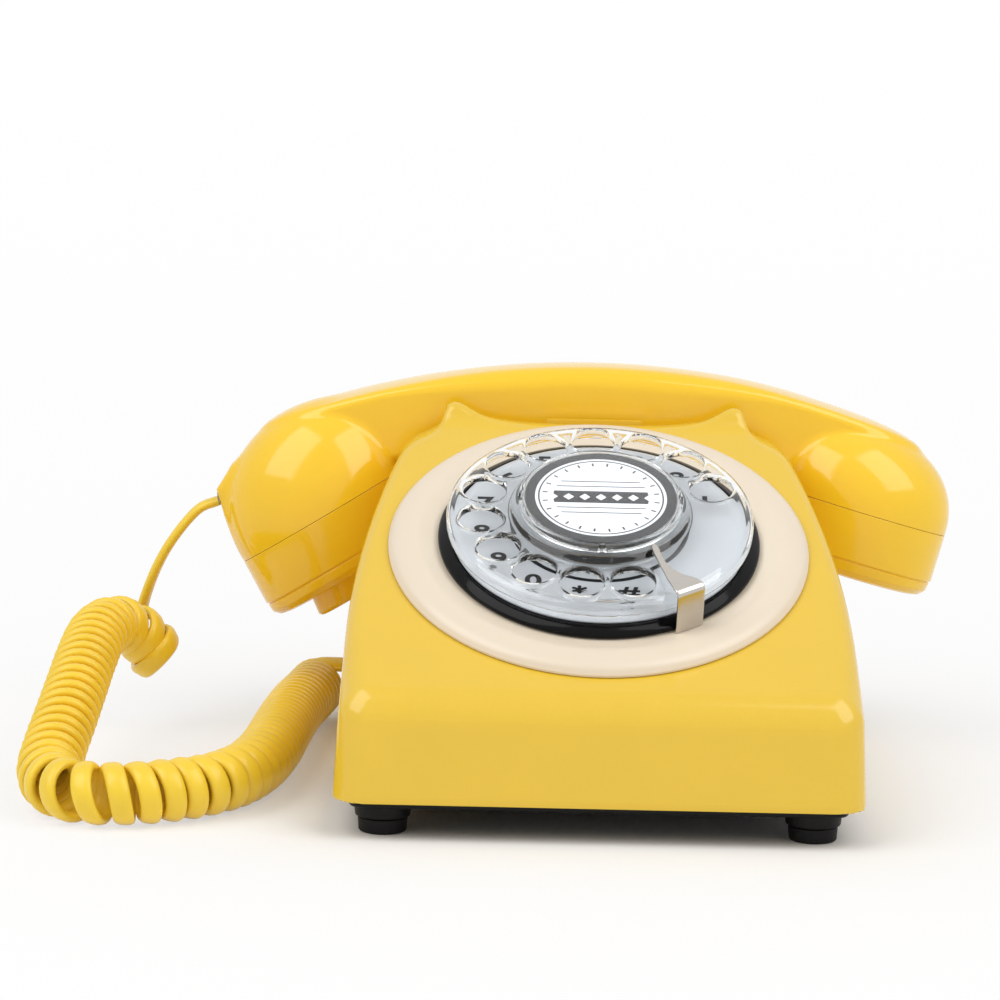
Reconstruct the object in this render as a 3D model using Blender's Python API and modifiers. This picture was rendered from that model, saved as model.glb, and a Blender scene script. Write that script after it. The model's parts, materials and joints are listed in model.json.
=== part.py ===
"""A yellow rotary desk telephone: wedge case, clear finger wheel, lift-off handset and curly cord.

Metres, +Z up, the front faces -Y. Shapes are built in case coordinates, with x = 0 on the middle plane,
y = 0 at the front bottom edge of the case and z = 0 on the table. One empty carries them all to the
centre of the telephone's footprint.
"""

import math

import bmesh
import bpy
import numpy as np
from mathutils import Matrix, Vector

MM = 0.001
GAP = 0.3 * MM

# Case: plan, side profile and wall
CASE_BOTTOM = 11.2 * MM
CASE_HALF_WIDTH = 79.4 * MM
CASE_DEPTH = 215.0 * MM
CASE_WALL = 2.5 * MM
SIDE_DRAFT = 0.045
REAR_LEAN = 0.30
FRONT_EDGE_Y = 2.6 * MM
FRONT_EDGE_Z = 42.3 * MM
FRONT_EDGE_RADIUS = 11.0 * MM
SLOPE = math.radians(27.48)
CREST_Z = 109.0 * MM
FENCE_LEAN = 0.5
BLOCK_TOP = 118.0 * MM
CORNER_RADIUS = 10.0 * MM
WAIST_START_Y = 35.0 * MM
WAIST_TURN_Y = 128.0 * MM
WAIST_CURVE = 1.6
WAIST_DEPTH = 18.5 * MM
CEILING_Z = 92.0 * MM

# Cradle: horns, trough and hook plunger
HORN_X = 46.0 * MM
HORN_Z = 115.8 * MM
HORN_FOOT_X = 50.5 * MM
HORN_FOOT_Z = 108.1 * MM
SHOULDER_X = 63.4 * MM
SHOULDER_Z = 102.3 * MM
TROUGH_HALF = 19.4 * MM
PLUNGER_HALF = 15.6 * MM

# Handset
HANDSET_Y = 158.0 * MM
HANDLE_TOP = 127.0 * MM
HANDLE_BOTTOM = 102.0 * MM
HANDLE_HALF_DEPTH = 14.0 * MM
HANDLE_DROP = 1.0 / (580.0 * MM)
TROUGH_DROP = 1.0 / (549.0 * MM)
CUP_RADIUS = 26.0 * MM
MOUTH_SEAM = (-93.8 * MM, 72.1 * MM)
MOUTH_TILT = math.radians(-33.0)
MOUTH_DOME = 34.0 * MM
EAR_SEAM = (94.9 * MM, 79.8 * MM)
EAR_TILT = math.radians(18.0)
EAR_DOME = 27.8 * MM
CAP_DEPTH = 16.5 * MM
FACE_DEPTH = 20.5 * MM
NUB_DEPTH = 28.0 * MM
PLUG_PLACE = (-121.2 * MM, 79.3 * MM)
PLUG_ANGLE = math.radians(159.0)

# Dial, measured along its own axis from the slope
DIAL_CENTRE = (71.8 * MM, 78.3 * MM)
DIAL_HOLE_RADIUS = 46.8 * MM
FINGER_HOLES = 12
FINGER_HOLE_RADIUS = 6.7 * MM
FINGER_CIRCLE = 37.3 * MM
FIRST_HOLE = 20.5
HOLE_PITCH = 24.0
STOP_ANGLE = -59.3
SHAFT_RADIUS = 3.0 * MM
GEAR_MODULE = 1.2 * MM
GEAR_TEETH = 40
PINION_TEETH = 10
GOVERNOR_DISTANCE = GEAR_MODULE * (GEAR_TEETH + PINION_TEETH) / 2

# Base and feet
FOOT_BOSS_RADIUS = 8.8 * MM
FOOT_PAD_RADIUS = 7.5 * MM
FOOT_PAD_HEIGHT = 4.5 * MM
FRONT_FEET = (64.5 * MM, 15.8 * MM)
REAR_FEET = (46.0 * MM, 196.0 * MM)
CASE_POSTS = (70.5 * MM, 70.0 * MM)

# Ringer
GONG_X = 27.0 * MM
GONG_Y = 166.0 * MM
CLAPPER_Y = 186.0 * MM
CLAPPER_BALL = 164.0 * MM
CLAPPER_Z = 38.0 * MM

# Jacks: block, mouth and case window corners in millimetres
HANDSET_JACK = {
    "block": ((-60.3, 176.4, 12.9), (-45.0, 187.6, 23.1)),
    "mouth": ((-70.0, 177.5, 14.4), (-49.0, 186.5, 21.6)),
    "window": ((-75.0, 176.0, 12.5), (-50.0, 188.0, 23.5)),
}
LINE_JACK = {
    "block": ((29.4, 198.0, 12.9), (40.6, 213.2, 23.1)),
    "mouth": ((30.5, 202.0, 14.4), (39.5, 225.0, 21.6)),
    "window": ((29.0, 195.0, 12.5), (41.0, 225.0, 23.5)),
}

# Curly cord
CORD_RADIUS = 1.8 * MM
COIL_RADIUS = 7.8 * MM
CURLS = 55
POINTS_PER_CURL = 8
LOOSE_STRETCH = 0.22
LOOSE_SHARE = 0.53
LOOSE_SPREAD = 0.13
BEND_EASE = 0.75

# The telephone's footprint centre in case coordinates, from the cord socket to the earpiece and the depth
ORIGIN_X = -2.35 * MM
ORIGIN_Y = CASE_DEPTH / 2

YELLOW = (0.90, 0.50, 0.03)
HANDSET_YELLOW = (0.88, 0.44, 0.02)
CREAM = (0.80, 0.72, 0.50)
BLACK = (0.012, 0.012, 0.014)
CLEAR = (0.86, 0.90, 0.92)
WHITE = (0.82, 0.86, 0.90)
NICKEL = (0.72, 0.71, 0.68)
BRASS = (0.78, 0.57, 0.22)
STEEL = (0.55, 0.56, 0.58)
COPPER = (0.62, 0.28, 0.12)
BOARD_GREEN = (0.05, 0.20, 0.09)
GREY = (0.25, 0.25, 0.26)
RUBBER = (0.02, 0.02, 0.02)


def clear_scene():
    """Remove every object that the start-up scene holds."""
    for obj in list(bpy.data.objects):
        bpy.data.objects.remove(obj)


def new_collection(name):
    """Make a collection under the scene."""
    collection = bpy.data.collections.new(name)
    bpy.context.scene.collection.children.link(collection)
    return collection


clear_scene()
PARTS = new_collection("rotary_desk_telephone")
CUTTERS = new_collection("telephone_cutters")


def finish(name, colour, roughness, metallic=0.0):
    """Make one plain Principled finish."""
    material = bpy.data.materials.new(name)
    material.use_nodes = True
    shader = material.node_tree.nodes["Principled BSDF"]
    shader.inputs["Base Color"].default_value = (*colour, 1.0)
    shader.inputs["Roughness"].default_value = roughness
    shader.inputs["Metallic"].default_value = metallic
    return material


def new_object(name, data, look=None, parent=None, location=(0, 0, 0), rotation=(0, 0, 0)):
    """Put mesh or curve data in the scene: a part when it has a look, and a cutter when it has none."""
    obj = bpy.data.objects.new(name, data)
    obj.parent = parent
    obj.location = location
    obj.rotation_euler = rotation
    if look is None:
        CUTTERS.objects.link(obj)
        obj.hide_render = True
        obj.display_type = "WIRE"
        return obj
    PARTS.objects.link(obj)
    data.materials.append(finish(name + "_finish", *look))
    return obj


def empty(name, location=(0, 0, 0), rotation=(0, 0, 0), parent=None):
    """Make an empty that carries other objects."""
    obj = bpy.data.objects.new(name, None)
    obj.parent = parent
    obj.location = location
    obj.rotation_euler = rotation
    PARTS.objects.link(obj)
    return obj


def mesh_of(name, shape, smooth=False):
    """Turn a finished bmesh into a mesh with its faces pointing out."""
    bmesh.ops.recalc_face_normals(shape, faces=shape.faces)
    mesh = bpy.data.meshes.new(name)
    shape.to_mesh(mesh)
    shape.free()
    if smooth:
        mesh.shade_smooth()
        mesh.set_sharp_from_angle(angle=math.radians(40))
    return mesh


def box(name, low, high, look=None, parent=None, **place):
    """Make a box between two corners."""
    shape = bmesh.new()
    size = Vector(high) - Vector(low)
    centre = (Vector(high) + Vector(low)) / 2
    matrix = Matrix.Translation(centre) @ Matrix.Diagonal((*size, 1.0))
    bmesh.ops.create_cube(shape, size=1.0, matrix=matrix)
    return new_object(name, mesh_of(name, shape), look, parent, **place)


def cylinder(name, radius, bottom, top, look=None, parent=None, sides=24, **place):
    """Make an upright cylinder between two heights."""
    shape = bmesh.new()
    bmesh.ops.create_cone(
        shape,
        cap_ends=True,
        segments=sides,
        radius1=radius,
        radius2=radius,
        depth=top - bottom,
        matrix=Matrix.Translation((0, 0, (top + bottom) / 2)),
    )
    return new_object(name, mesh_of(name, shape, True), look, parent, **place)


def turned(name, profile, look=None, parent=None, steps=40, **place):
    """Turn a closed profile of (radius, height) points in millimetres about Z."""
    points = [(radius * MM, 0, height * MM) for radius, height in profile]
    on_axis = profile[0][0] == 0 and profile[-1][0] == 0
    count = len(points)
    edges = [(i, (i + 1) % count) for i in range(count - 1 if on_axis else count)]
    mesh = bpy.data.meshes.new(name)
    mesh.from_pydata(points, edges, [])
    obj = new_object(name, mesh, look, parent, **place)
    screw = obj.modifiers.new("turn", "SCREW")
    screw.steps = steps
    screw.render_steps = steps
    screw.use_merge_vertices = True
    screw.merge_threshold = 1e-6
    screw.use_smooth_shade = True
    return obj


def plate(name, outlines, bottom, top, look=None, parent=None, **place):
    """Make a flat plate from a closed outline and any holes in it, all in millimetres."""
    curve = bpy.data.curves.new(name, "CURVE")
    curve.dimensions = "2D"
    curve.fill_mode = "BOTH"
    curve.extrude = (top - bottom) / 2
    for outline in outlines:
        spline = curve.splines.new("POLY")
        spline.points.add(len(outline) - 1)
        for point, (x, y) in zip(spline.points, outline):
            point.co = (x * MM, y * MM, 0, 1)
        spline.use_cyclic_u = True
    obj = new_object(name, curve, look, parent, **place)
    obj.location = Vector(obj.location) + lift(obj.rotation_euler, (bottom + top) / 2)
    return obj


def lift(rotation, height):
    """Give the shift of a height along the Z axis of a rotated object."""
    return rotation.to_matrix() @ Vector((0, 0, height))


def as_mesh(obj):
    """Replace a curve object by a welded mesh of the same name, place and finish."""
    bpy.context.view_layer.update()
    graph = bpy.context.evaluated_depsgraph_get()
    mesh = bpy.data.meshes.new_from_object(obj.evaluated_get(graph))
    shape = bmesh.new()
    shape.from_mesh(mesh)
    bmesh.ops.remove_doubles(shape, verts=shape.verts, dist=1e-6)
    bmesh.ops.recalc_face_normals(shape, faces=shape.faces)
    shape.to_mesh(mesh)
    shape.free()
    name = obj.name
    homes = list(obj.users_collection)
    made = bpy.data.objects.new(name + "_mesh", mesh)
    made.parent = obj.parent
    made.location = obj.location
    made.rotation_euler = obj.rotation_euler
    made.hide_render = obj.hide_render
    made.display_type = obj.display_type
    for home in homes:
        home.objects.link(made)
    bpy.data.objects.remove(obj)
    made.name = name
    return made


def tube(name, points, radius, look=None, parent=None, sides=2, **place):
    """Make a round tube along points in metres, with closed ends."""
    curve = bpy.data.curves.new(name, "CURVE")
    curve.dimensions = "3D"
    curve.bevel_depth = radius
    curve.bevel_resolution = sides
    curve.use_fill_caps = True
    spline = curve.splines.new("POLY")
    spline.points.add(len(points) - 1)
    for point, place_of in zip(spline.points, points):
        point.co = (*place_of, 1)
    return new_object(name, curve, look, parent, **place)


def loft(name, sections, look=None, parent=None, smooth=False, **place):
    """Join rings of equal point counts, in order, and close both ends."""
    shape = bmesh.new()
    rings = [[shape.verts.new(point) for point in section] for section in sections]
    count = len(rings[0])
    for first, second in zip(rings, rings[1:]):
        for i in range(count):
            j = (i + 1) % count
            shape.faces.new((first[i], first[j], second[j], second[i]))
    shape.faces.new(rings[0])
    shape.faces.new(rings[-1])
    return new_object(name, mesh_of(name, shape, smooth), look, parent, **place)


def combine(target, other, operation="DIFFERENCE"):
    """Cut a hidden solid from the target, or join it on."""
    modifier = target.modifiers.new(operation.lower() + "_" + other.name, "BOOLEAN")
    modifier.operation = operation
    modifier.solver = "EXACT"
    modifier.object = other
    return target


def smooth_curve(points, count):
    """Sample a smooth curve through hand-set points at even arc lengths."""
    points = np.array(points, float)
    ends = np.vstack([2 * points[0] - points[1], points, 2 * points[-1] - points[-2]])
    dense = []
    for i in range(1, len(ends) - 2):
        before, start, end, after = ends[i - 1 : i + 3]
        for t in np.linspace(0, 1, 40, endpoint=False):
            dense.append(
                0.5
                * (
                    2 * start
                    + (end - before) * t
                    + (2 * before - 5 * start + 4 * end - after) * t**2
                    + (3 * start - before - 3 * end + after) * t**3
                )
            )
    dense.append(points[-1])
    dense = np.array(dense)
    length = np.concatenate([[0], np.cumsum(np.linalg.norm(np.diff(dense, axis=0), axis=1))])
    even = np.linspace(0, length[-1], count)
    return np.stack([np.interp(even, length, dense[:, k]) for k in range(3)], axis=1), length[-1]


def circle(radius, count, start=0.0):
    """Give the points of a circle in millimetres."""
    turns = [start + 2 * math.pi * k / count for k in range(count)]
    return [(radius * math.cos(a), radius * math.sin(a)) for a in turns]


ORIGIN = empty("telephone_origin", (-ORIGIN_X, -ORIGIN_Y, 0))
DIAL = empty("dial_axis", (0, *DIAL_CENTRE), (SLOPE, 0, 0), ORIGIN)
GOVERNOR = empty("governor_axis", (0, GOVERNOR_DISTANCE, 0), (0, 0, 0), DIAL)
MOUTH = empty("mouth_axis", (MOUTH_SEAM[0], HANDSET_Y, MOUTH_SEAM[1]), (0, MOUTH_TILT, 0), ORIGIN)
EAR = empty("ear_axis", (EAR_SEAM[0], HANDSET_Y, EAR_SEAM[1]), (0, EAR_TILT, 0), ORIGIN)
CLAPPER = empty("clapper_axis", (0, CLAPPER_Y, 0), (0, 0, 0), ORIGIN)
PLUG = empty("plug_axis", (PLUG_PLACE[0], HANDSET_Y, PLUG_PLACE[1]), (0, PLUG_ANGLE, 0), ORIGIN)


# Case


def waist(y):
    """Give how far the side wall draws in at a depth, so that the handset's cups clear it."""
    rise = 2 * WAIST_CURVE * (WAIST_TURN_Y - WAIST_START_Y)
    at_turn = WAIST_CURVE * (WAIST_TURN_Y - WAIST_START_Y) ** 2
    if y < WAIST_TURN_Y:
        return WAIST_CURVE * max(0.0, y - WAIST_START_Y) ** 2
    reach = 2 * (WAIST_DEPTH - at_turn) / rise
    past = min(y - WAIST_TURN_Y, reach)
    return at_turn + rise * past - rise / reach * past**2 / 2


def half_width(y, z):
    """Give the case's half width at a depth and height."""
    return CASE_HALF_WIDTH - SIDE_DRAFT * (z - CASE_BOTTOM) - waist(y)


def slope_y(z):
    """Give the depth of the sloping dial face at a height."""
    return FRONT_EDGE_Y + (z - FRONT_EDGE_Z) / math.tan(SLOPE)


def front_profile():
    """Give (height, depth) points of the front outline: face, rounded edge, slope and cradle fence."""
    lean = math.atan2(FRONT_EDGE_Z - CASE_BOTTOM, FRONT_EDGE_Y)
    turn = lean - SLOPE
    run = FRONT_EDGE_RADIUS * math.tan(turn / 2)
    start_y = FRONT_EDGE_Y - run * math.cos(lean)
    start_z = FRONT_EDGE_Z - run * math.sin(lean)
    centre_y = start_y + FRONT_EDGE_RADIUS * math.sin(lean)
    centre_z = start_z - FRONT_EDGE_RADIUS * math.cos(lean)
    points = [(CASE_BOTTOM, 0.0)]
    steps = 4
    for k in range(steps + 1):
        angle = lean - turn * k / steps
        y = centre_y - FRONT_EDGE_RADIUS * math.sin(angle)
        z = centre_z + FRONT_EDGE_RADIUS * math.cos(angle)
        points.append((z, y))
    for z in (65 * MM, 85 * MM, 100 * MM, CREST_Z):
        points.append((z, slope_y(z)))
    points.append((BLOCK_TOP, slope_y(CREST_Z) + FENCE_LEAN * (BLOCK_TOP - CREST_Z)))
    return points


def case_ring(z, front, rear, inset=0.0):
    """Give one level outline of the case, with rounded corners, between two depths."""
    radius = CORNER_RADIUS - inset
    arc_steps = 3
    right = []
    for k in range(arc_steps + 1):
        angle = math.pi / 2 * k / arc_steps
        y = front + radius * (1 - math.cos(angle))
        right.append((half_width(y, z) - inset - radius * (1 - math.sin(angle)), y))
    for k in range(1, 6):
        y = front + radius + (rear - front - 2 * radius) * k / 6
        right.append((half_width(y, z) - inset, y))
    for k in range(arc_steps, -1, -1):
        angle = math.pi / 2 * k / arc_steps
        y = rear - radius * (1 - math.cos(angle))
        right.append((half_width(y, z) - inset - radius * (1 - math.sin(angle)), y))
    ring = [(x, y, z) for x, y in right]
    return ring + [(-x, y, z) for x, y in reversed(right)]


def rear_y(z):
    """Give the depth of the leaning rear wall at a height."""
    return CASE_DEPTH - REAR_LEAN * (z - CASE_BOTTOM)


def crest_outline():
    """Give the (x, z) outline of what is taken off above the horns and shoulders, in millimetres."""
    inner = [(0, 109.0), (16, 109.2), (25, 109.6), (34, 110.8), (38.5, 112.4), (43.5, 115.1)]
    horn = [(HORN_X / MM, HORN_Z / MM), (48.6, 114.9), (49.4, 112.0)]
    outer = [(HORN_FOOT_X / MM, HORN_FOOT_Z / MM), (SHOULDER_X / MM, SHOULDER_Z / MM), (70, 96), (90, 86)]
    right = inner + horn + outer
    top = [(90, 130), (-90, 130)]
    return right + top + [(-x, z) for x, z in reversed(right[1:])]


def trough_floor(x):
    """Give the height of the cradle's floor, just under the handle."""
    return HANDLE_BOTTOM - 0.5 * MM - TROUGH_DROP * x * x


def trough_section(x):
    """Give the U-shaped outline of the cradle at one side position."""
    floor = trough_floor(x)
    radius = 7 * MM
    top = 135 * MM
    ring = [(x, HANDSET_Y + TROUGH_HALF, top), (x, HANDSET_Y - TROUGH_HALF, top)]
    for side, angles in ((-1, (0, 45, 90)), (1, (90, 45, 0))):
        for angle in map(math.radians, angles):
            y = HANDSET_Y + side * (TROUGH_HALF - radius * (1 - math.cos(angle)))
            ring.append((x, y, floor + radius * (1 - math.sin(angle))))
    return ring


def build_case():
    """Build the hollow case with its cradle, dial hole, screw posts and jack windows."""
    look = (YELLOW, 0.25)
    outer = [case_ring(z, y, rear_y(z)) for z, y in front_profile()]
    shell = loft("case_shell", outer, look, ORIGIN, True)
    inner = []
    for z in (CASE_BOTTOM - 5 * MM, 30 * MM, 38 * MM, 44 * MM, 60 * MM, 76 * MM, CEILING_Z):
        front = max(CASE_WALL + FRONT_EDGE_Y, slope_y(z) + CASE_WALL / math.sin(SLOPE))
        inner.append(case_ring(z, front, rear_y(z) - CASE_WALL, CASE_WALL))
    combine(shell, loft("case_inside", inner, None, ORIGIN))
    crest = plate("crest_cut", [crest_outline()], -120 * MM, 120 * MM, None, ORIGIN)
    crest.rotation_euler = (math.pi / 2, 0, 0)
    crest.location = (0, HANDSET_Y, 0)
    combine(shell, as_mesh(crest))
    spans = [x * MM for x in (-90, -65, -45, -25, 0, 25, 45, 65, 90)]
    combine(shell, loft("trough_cut", [trough_section(x) for x in spans], None, ORIGIN))
    half = PLUNGER_HALF + 2 * GAP
    front = HANDSET_Y - TROUGH_HALF + 0.1 * MM
    rear = HANDSET_Y + TROUGH_HALF - 0.8 * MM
    combine(shell, box("plunger_pocket", (-half, front, 96.3 * MM), (half, rear, 112 * MM), None, ORIGIN))
    stem = 5.5 * MM
    combine(
        shell,
        box(
            "stem_hole",
            (-stem, HANDSET_Y - stem, 80 * MM),
            (stem, HANDSET_Y + stem, 100 * MM),
            None,
            ORIGIN,
        ),
    )
    combine(shell, cylinder("dial_hole", DIAL_HOLE_RADIUS, -30 * MM, 20 * MM, None, DIAL, 48))
    for name, jack in (("handset_window", HANDSET_JACK), ("line_window", LINE_JACK)):
        low, high = (Vector(corner) for corner in jack["window"])
        combine(shell, box(name, low * MM, high * MM, None, ORIGIN))
    for side, hand in ((-1, "left"), (1, "right")):
        spot = (side * CASE_POSTS[0], CASE_POSTS[1], 0)
        post = cylinder("post_" + hand, 6 * MM, 11.6 * MM, 42 * MM, None, ORIGIN, 16, location=spot)
        combine(shell, post, "UNION")
        hole = cylinder("post_hole_" + hand, 1.8 * MM, 5 * MM, 30 * MM, None, ORIGIN, 12, location=spot)
        combine(shell, hole)


def build_base():
    """Build the base plate with its foot bosses, the rubber pads and the case screws."""
    inset = 1.5 * MM
    levels = (8.8 * MM, CASE_BOTTOM - GAP)
    rings = [case_ring(z, inset, CASE_DEPTH - inset, inset) for z in levels]
    base = loft("base_plate", rings, (BLACK, 0.5), ORIGIN)
    feet = [("front", FRONT_FEET), ("rear", REAR_FEET)]
    for end, (x, y) in feet:
        for side, hand in ((-1, "left"), (1, "right")):
            spot = (side * x, y, 0)
            name = end + "_" + hand
            bottom = FOOT_PAD_HEIGHT + GAP
            boss = cylinder(
                "boss_" + name, FOOT_BOSS_RADIUS, bottom, 9.8 * MM, None, ORIGIN, 16, location=spot
            )
            combine(base, boss, "UNION")
            pad = "foot_pad_" + name
            cylinder(pad, FOOT_PAD_RADIUS, 0, FOOT_PAD_HEIGHT, (RUBBER, 0.8), ORIGIN, 16, location=spot)
    for side, hand in ((-1, "left"), (1, "right")):
        spot = (side * CASE_POSTS[0], CASE_POSTS[1], 0)
        hole = cylinder("plate_hole_" + hand, 1.8 * MM, 5 * MM, 15 * MM, None, ORIGIN, 12, location=spot)
        combine(base, hole)
        outline = [(0, 26.0), (1.5, 26.0), (1.5, 8.5), (3.6, 8.5), (3.6, 6.6), (0, 6.6)]
        turned("case_screw_" + hand, outline, (STEEL, 0.3, 1.0), ORIGIN, 14, location=spot)
    for x, y in ((-40, 64), (20, 64), (-40, 101), (20, 101)):
        spot = (x * MM, y * MM, 0)
        name = f"board_stud_{x}_{y}"
        stud = cylinder(name, 2.5 * MM, 10 * MM, 13.7 * MM, None, ORIGIN, 8, location=spot)
        combine(base, stud, "UNION")


# Dial


def gear_outline(teeth):
    """Give a gear's outline in millimetres: straight flanks with short tips and free play."""
    module = GEAR_MODULE / MM
    pitch = module * teeth / 2
    root = pitch - 1.05 * module
    tip = pitch + 0.7 * module
    play = 0.35 * module
    half = (math.pi * module / 2 - play) / (2 * pitch)
    slant = 0.36 * module / pitch
    side = [(root, half + slant), (tip, half - slant * (tip - pitch) / (pitch - root))]
    points = []
    for k in range(teeth):
        middle = 2 * math.pi * k / teeth
        for radius, away in side:
            points.append((radius * math.cos(middle - away), radius * math.sin(middle - away)))
        for radius, away in reversed(side):
            points.append((radius * math.cos(middle + away), radius * math.sin(middle + away)))
    return points


def build_dial_front():
    """Build the ring, cup, number plate and finger stop that the case carries."""
    ring = [(46.5, 2.4), (50.6, 2.4), (53.5, 3.3), (57.5, 4.0), (61, 3.7), (64.4, 2.8), (65.6, 1.4)]
    bezel = turned("dial_ring", ring + [(65.6, 0.3), (46.5, 0.3)], (CREAM, 0.35), DIAL, 32)
    cup = [(5.9, 6.1), (42.9, 6.1), (45.8, 4.85), (46.5, 5.0), (46.6, 5.9), (47.6, 5.6), (49.3, 4.8)]
    cup += [(50.2, 4.1), (50.2, 2.7), (46.2, 2.7), (46.2, -7.0), (43.5, -7.0), (43.5, 3.4), (42.0, 3.6)]
    cup += [(5.9, 3.6)]
    turned("dial_cup", cup, (BLACK, 0.15), DIAL, 26)
    face = [(8.2, 7.4), (43.2, 7.4), (46.2, 6.1), (46.0, 5.2), (43.0, 6.4), (8.2, 6.4)]
    turned("number_plate", face, (WHITE, 0.4), DIAL, 30)
    blade = [(26.6, 1.0), (31.8, -0.3), (36.4, -1.5), (43.9, -3.4), (51.7, -4.5), (51.7, 5.2), (49.4, 5.2)]
    blade += [(47.0, 4.4), (44.5, 2.4), (40.3, 0.8), (34.7, 1.0), (28.5, 3.0), (27.2, 2.9)]
    stop = as_mesh(plate("finger_stop", [blade], 17.0 * MM, 18.0 * MM, (NICKEL, 0.2, 1.0), DIAL))
    turn = (0, 0, math.radians(STOP_ANGLE))
    stop.rotation_euler = turn
    low, high = (50.7 * MM, -4.5 * MM, 3.6 * MM), (51.7 * MM, 5.2 * MM, 17.5 * MM)
    tab = box("stop_tab", low, high, None, DIAL, rotation=turn)
    combine(stop, tab, "UNION")
    low, high = (50.7 * MM, -2.6 * MM, 0.8 * MM), (51.7 * MM, 3.3 * MM, 4.0 * MM)
    tongue = box("stop_tongue", low, high, None, DIAL, rotation=turn)
    combine(stop, tongue, "UNION")
    low, high = (50.4 * MM, -3.0 * MM, -1.0 * MM), (52.0 * MM, 3.7 * MM, 5.0 * MM)
    combine(bezel, box("stop_slot", low, high, None, DIAL, rotation=turn))


def build_finger_wheel():
    """Build the clear finger wheel, label and everything that turns on the dial's shaft."""
    wheel = [(3.3, 18.1), (23.4, 18.1), (23.9, 17.6), (23.9, 16.4), (26.6, 16.2), (27.7, 15.4), (28.3, 14.6)]
    wheel += [(43.6, 14.6), (45.8, 14.0), (47.7, 12.5), (47.7, 9.0), (46.5, 9.0), (46.2, 11.2), (44.6, 12.0)]
    wheel += [(3.3, 12.0)]
    disc = turned("finger_wheel", wheel, (CLEAR, 0.05), DIAL, 24)
    for k in range(FINGER_HOLES):
        angle = math.radians(FIRST_HOLE + HOLE_PITCH * k)
        spot = (FINGER_CIRCLE * math.cos(angle), FINGER_CIRCLE * math.sin(angle), 0)
        name = f"finger_hole_{k}"
        hole = cylinder(name, FINGER_HOLE_RADIUS, 5 * MM, 25 * MM, None, DIAL, 12, location=spot)
        combine(disc, hole)
    turned("label_card", [(0, 19.0), (23.5, 19.0), (23.5, 18.4), (0, 18.4)], (WHITE, 0.6), DIAL, 32)
    cap = [(0, 20.0), (24.6, 20.0), (25.5, 19.1), (25.5, 16.7), (24.2, 16.7), (24.2, 19.3), (0, 19.3)]
    turned("label_cap", cap, (CLEAR, 0.05), DIAL, 24)
    cylinder("dial_shaft", SHAFT_RADIUS, -20.5 * MM, 17.8 * MM, (STEEL, 0.3, 1.0), DIAL)
    bore = circle(SHAFT_RADIUS / MM + 0.3, 20)
    plate("main_gear", [gear_outline(GEAR_TEETH), bore], -15.4 * MM, -13.2 * MM, (BRASS, 0.35, 1.0), DIAL)
    lobes = []
    lobe_points = 30
    for k in range(lobe_points):
        angle = 2 * math.pi * k / lobe_points
        radius = 11 + 1.2 * math.cos(10 * angle)
        lobes.append((radius * math.cos(angle), radius * math.sin(angle)))
    plate("impulse_cam", [lobes, bore], -18.8 * MM, -16.2 * MM, (GREY, 0.5), DIAL)


def spiral_outline(first, last, turns, thickness):
    """Give the outline of a flat wound strip in millimetres."""
    count = 10 * turns
    outer = []
    inner = []
    for k in range(count + 1):
        angle = 2 * math.pi * turns * k / count
        radius = first + (last - first) * k / count
        outer.append(((radius + thickness) * math.cos(angle), (radius + thickness) * math.sin(angle)))
        inner.append((radius * math.cos(angle), radius * math.sin(angle)))
    return outer + inner[::-1]


def build_dial_works():
    """Build the frame, bush, springs and contacts behind the dial."""
    sleeve = [(3.3, 11.4), (5.6, 11.4), (5.6, -9.6), (3.3, -9.6)]
    turned("dial_bush", sleeve, (BRASS, 0.3, 1.0), DIAL, 18)
    spindle_hole = [(x, y + GOVERNOR_DISTANCE / MM) for x, y in circle(1.6, 12)]
    holes = [circle(43, 30), circle(5.9, 14), spindle_hole]
    plate("dial_frame", holes, -9.4 * MM, -7.3 * MM, (STEEL, 0.35, 1.0), DIAL)
    spring = spiral_outline(4.5, 17, 3, 0.6)
    plate("mainspring", [spring], -12.6 * MM, -9.9 * MM, (STEEL, 0.25, 1.0), DIAL)
    box(
        "contact_block",
        (-19 * MM, -30 * MM, -19 * MM),
        (-13.6 * MM, -25.6 * MM, -9.7 * MM),
        (GREY, 0.5),
        DIAL,
    )
    for name, x in (("impulse_spring_inner", -13.3), ("impulse_spring_outer", -20.2)):
        low = (x * MM, -30 * MM, -18.6 * MM)
        high = ((x + 0.7) * MM, 2 * MM, -16.4 * MM)
        box(name, low, high, (BRASS, 0.3, 1.0), DIAL)
    rod = [(0, -7.6), (1.2, -7.6), (1.2, -29.4), (0, -29.4)]
    turned("governor_spindle", rod, (STEEL, 0.3, 1.0), GOVERNOR, 12)
    bore = circle(1.5, 12)
    plate(
        "governor_pinion",
        [gear_outline(PINION_TEETH), bore],
        -15.8 * MM,
        -12.9 * MM,
        (BRASS, 0.35, 1.0),
        GOVERNOR,
    )
    drum = [(1.5, -19.6), (9, -19.6), (9, -26.5), (7.6, -26.5), (7.6, -21.2), (1.5, -21.2)]
    turned("governor_drum", drum, (BRASS, 0.35, 1.0), GOVERNOR, 20)
    arm = [(-5, -5), (5, -5), (5, 12), (-5, 12)]
    outlines = [arm, circle(1.6, 12)]
    look = (STEEL, 0.35, 1.0)
    bracket = as_mesh(plate("governor_bracket", outlines, -30 * MM, -28 * MM, look, GOVERNOR))
    spot = (0, 11.2 * MM, 0)
    post = cylinder("governor_post", 1.8 * MM, -29 * MM, -9.7 * MM, None, GOVERNOR, 12, location=spot)
    combine(bracket, post, "UNION")


# Hook switch and plunger


def helix(radius, bottom, top, turns, per_turn):
    """Give the points of an upright helix."""
    points = []
    count = turns * per_turn
    for k in range(count + 1):
        angle = 2 * math.pi * k / per_turn
        height = bottom + (top - bottom) * k / count
        points.append((radius * math.cos(angle), radius * math.sin(angle), height))
    return points


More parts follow.
